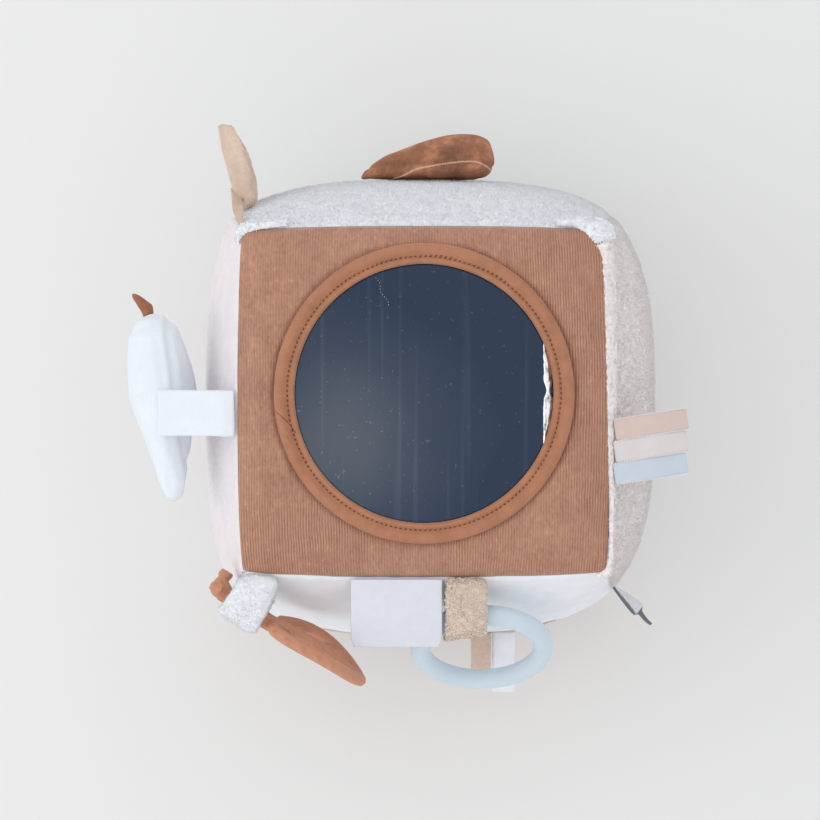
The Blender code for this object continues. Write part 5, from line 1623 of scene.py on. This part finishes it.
def dress_inside(block):
    """Finishes of the stuffing, felt disc and rattle, which stay as the frame has them."""
    finishes = {"filling": fibre_finish("stuffing", tone(240, 240, 238)),
                "mirror_backing": fibre_finish("backing", tone(230, 230, 228)),
                "rattle_bead": plastic_finish("beads", tone(196, 124, 97)),
                "rattle": plastic_finish("capsule", tone(231, 231, 231))}
    for name, node in NODES.items():
        for start, finish in finishes.items():
            if name.startswith(start):
                node.data.materials.clear()
                node.data.materials.append(finish)
                break


# Stage


def set_stage(block):
    """Floor, key light, light from all round and the camera straight above."""
    stage = block.stage
    floor_finish, _, shader = new_finish("floor", stage.floor_colour, 0.9)
    shader.inputs["Specular IOR Level"].default_value = 0.1
    half = stage.floor / 2
    corners = [Vector((x, y, 0.0)) for x, y in ((-half, -half), (half, -half), (half, half), (-half, half))]
    floor = make_piece("floor", corners, [(0, 1, 2, 3)], floor_finish)
    key_data = bpy.data.lights.new("key", "AREA")
    key_data.energy = stage.key_power
    key_data.shape = "DISK"
    key_data.size = stage.key_width
    key_data.color = (1.0, 0.985, 0.965)
    key = show("key", key_data)
    way = Vector((math.cos(stage.key_turn) * math.cos(stage.key_rise),
                  math.sin(stage.key_turn) * math.cos(stage.key_rise), math.sin(stage.key_rise)))
    key.rotation_euler = way.to_track_quat("Z", "Y").to_euler()
    key.location = way * stage.key_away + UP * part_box("mirror_film")[1].z / 2
    world = bpy.data.worlds.new("room")
    world.use_nodes = True
    background = world.node_tree.nodes["Background"]
    background.inputs["Color"].default_value = (0.970, 0.977, 0.990, 1.0)
    background.inputs["Strength"].default_value = stage.fill_strength
    bpy.context.scene.world = world
    camera_data = bpy.data.cameras.new("camera")
    camera_data.sensor_width = 36
    camera_data.lens = camera_data.sensor_width * stage.eye_height / stage.view_width
    camera_data.dof.use_dof = False
    camera = show("camera", camera_data)
    camera.location = (stage.eye_x, stage.eye_y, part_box("mirror_film")[1].z + stage.eye_height)
    bpy.context.scene.camera = camera
    bpy.context.scene.view_settings.view_transform = "Standard"


# Operators


class Dress:
    """What the operators share."""
    bl_options = {"REGISTER", "UNDO"}
    makers = ()

    def execute(self, context):
        for maker in self.makers:
            maker(context.scene.soft_block)
        return {"FINISHED"}


class BLOCK_OT_cover(Dress, bpy.types.Operator):
    """Sew the cover: plush, muslin and cotton sides, the base and the seams"""
    bl_idname = "block.cover"
    bl_label = "Cover"
    makers = (dress_plush_sides, dress_muslin_side, dress_front, dress_hem, dress_base, build_cover_seams)


class BLOCK_OT_top(Dress, bpy.types.Operator):
    """Rib-knit top and the mirror with its tape"""
    bl_idname = "block.top"
    bl_label = "Knit Top and Mirror"
    makers = (dress_top, dress_mirror)


class BLOCK_OT_teethers(Dress, bpy.types.Operator):
    """Leaf teether and teething ring in their plush loops"""
    bl_idname = "block.teethers"
    bl_label = "Teethers"
    makers = (dress_leaf_teether, dress_ring)


class BLOCK_OT_soft_toys(Dress, bpy.types.Operator):
    """Bird with its strap, the ear and the velour leaf"""
    bl_idname = "block.soft_toys"
    bl_label = "Bird, Ear and Leaf"
    makers = (dress_bird, dress_ear, dress_velour_leaf)


class BLOCK_OT_ribbons(Dress, bpy.types.Operator):
    """Ribbons, label, tab and tag"""
    bl_idname = "block.ribbons"
    bl_label = "Ribbons and Label"
    makers = (dress_ribbons, dress_label, dress_corner_ribbon, dress_tabs)


class BLOCK_OT_inside(Dress, bpy.types.Operator):
    """Finishes of the stuffing and the rattle"""
    bl_idname = "block.inside"
    bl_label = "Inside"
    makers = (dress_inside,)


class BLOCK_OT_stage(Dress, bpy.types.Operator):
    """Floor, lights and camera"""
    bl_idname = "block.stage"
    bl_label = "Stage"
    makers = (set_stage,)


OPERATORS = (BLOCK_OT_cover, BLOCK_OT_top, BLOCK_OT_teethers, BLOCK_OT_soft_toys, BLOCK_OT_ribbons,
             BLOCK_OT_inside, BLOCK_OT_stage)
GROUPS = (CoverSizes, KnitSizes, PileSizes, Colours, StageSizes, SoftBlock)


class BLOCK_PT_panel(bpy.types.Panel):
    """Sizes and operators of the block"""
    bl_label = "Soft Block"
    bl_idname = "BLOCK_PT_panel"
    bl_space_type = "VIEW_3D"
    bl_region_type = "UI"
    bl_category = "Soft Block"

    def draw(self, context):
        block = context.scene.soft_block
        for group in (block.cover, block.knit, block.pile, block.colours, block.stage):
            column = self.layout.column(align=True)
            for name in group.__annotations__:
                column.prop(group, name)
        for operator in OPERATORS:
            self.layout.operator(operator.bl_idname)


def register():
    """Register the add-on."""
    for item in (*GROUPS, *OPERATORS, BLOCK_PT_panel):
        bpy.utils.register_class(item)
    bpy.types.Scene.soft_block = PointerProperty(type=SoftBlock)


def unregister():
    """Take the add-on out again."""
    del bpy.types.Scene.soft_block
    for item in reversed((*GROUPS, *OPERATORS, BLOCK_PT_panel)):
        bpy.utils.unregister_class(item)


def main():
    """Build the looks."""
    register()
    bpy.ops.block.cover()
    bpy.ops.block.top()
    bpy.ops.block.teethers()
    bpy.ops.block.soft_toys()
    bpy.ops.block.ribbons()
    bpy.ops.block.inside()
    bpy.ops.block.stage()


if __name__ == "__main__":
    main()
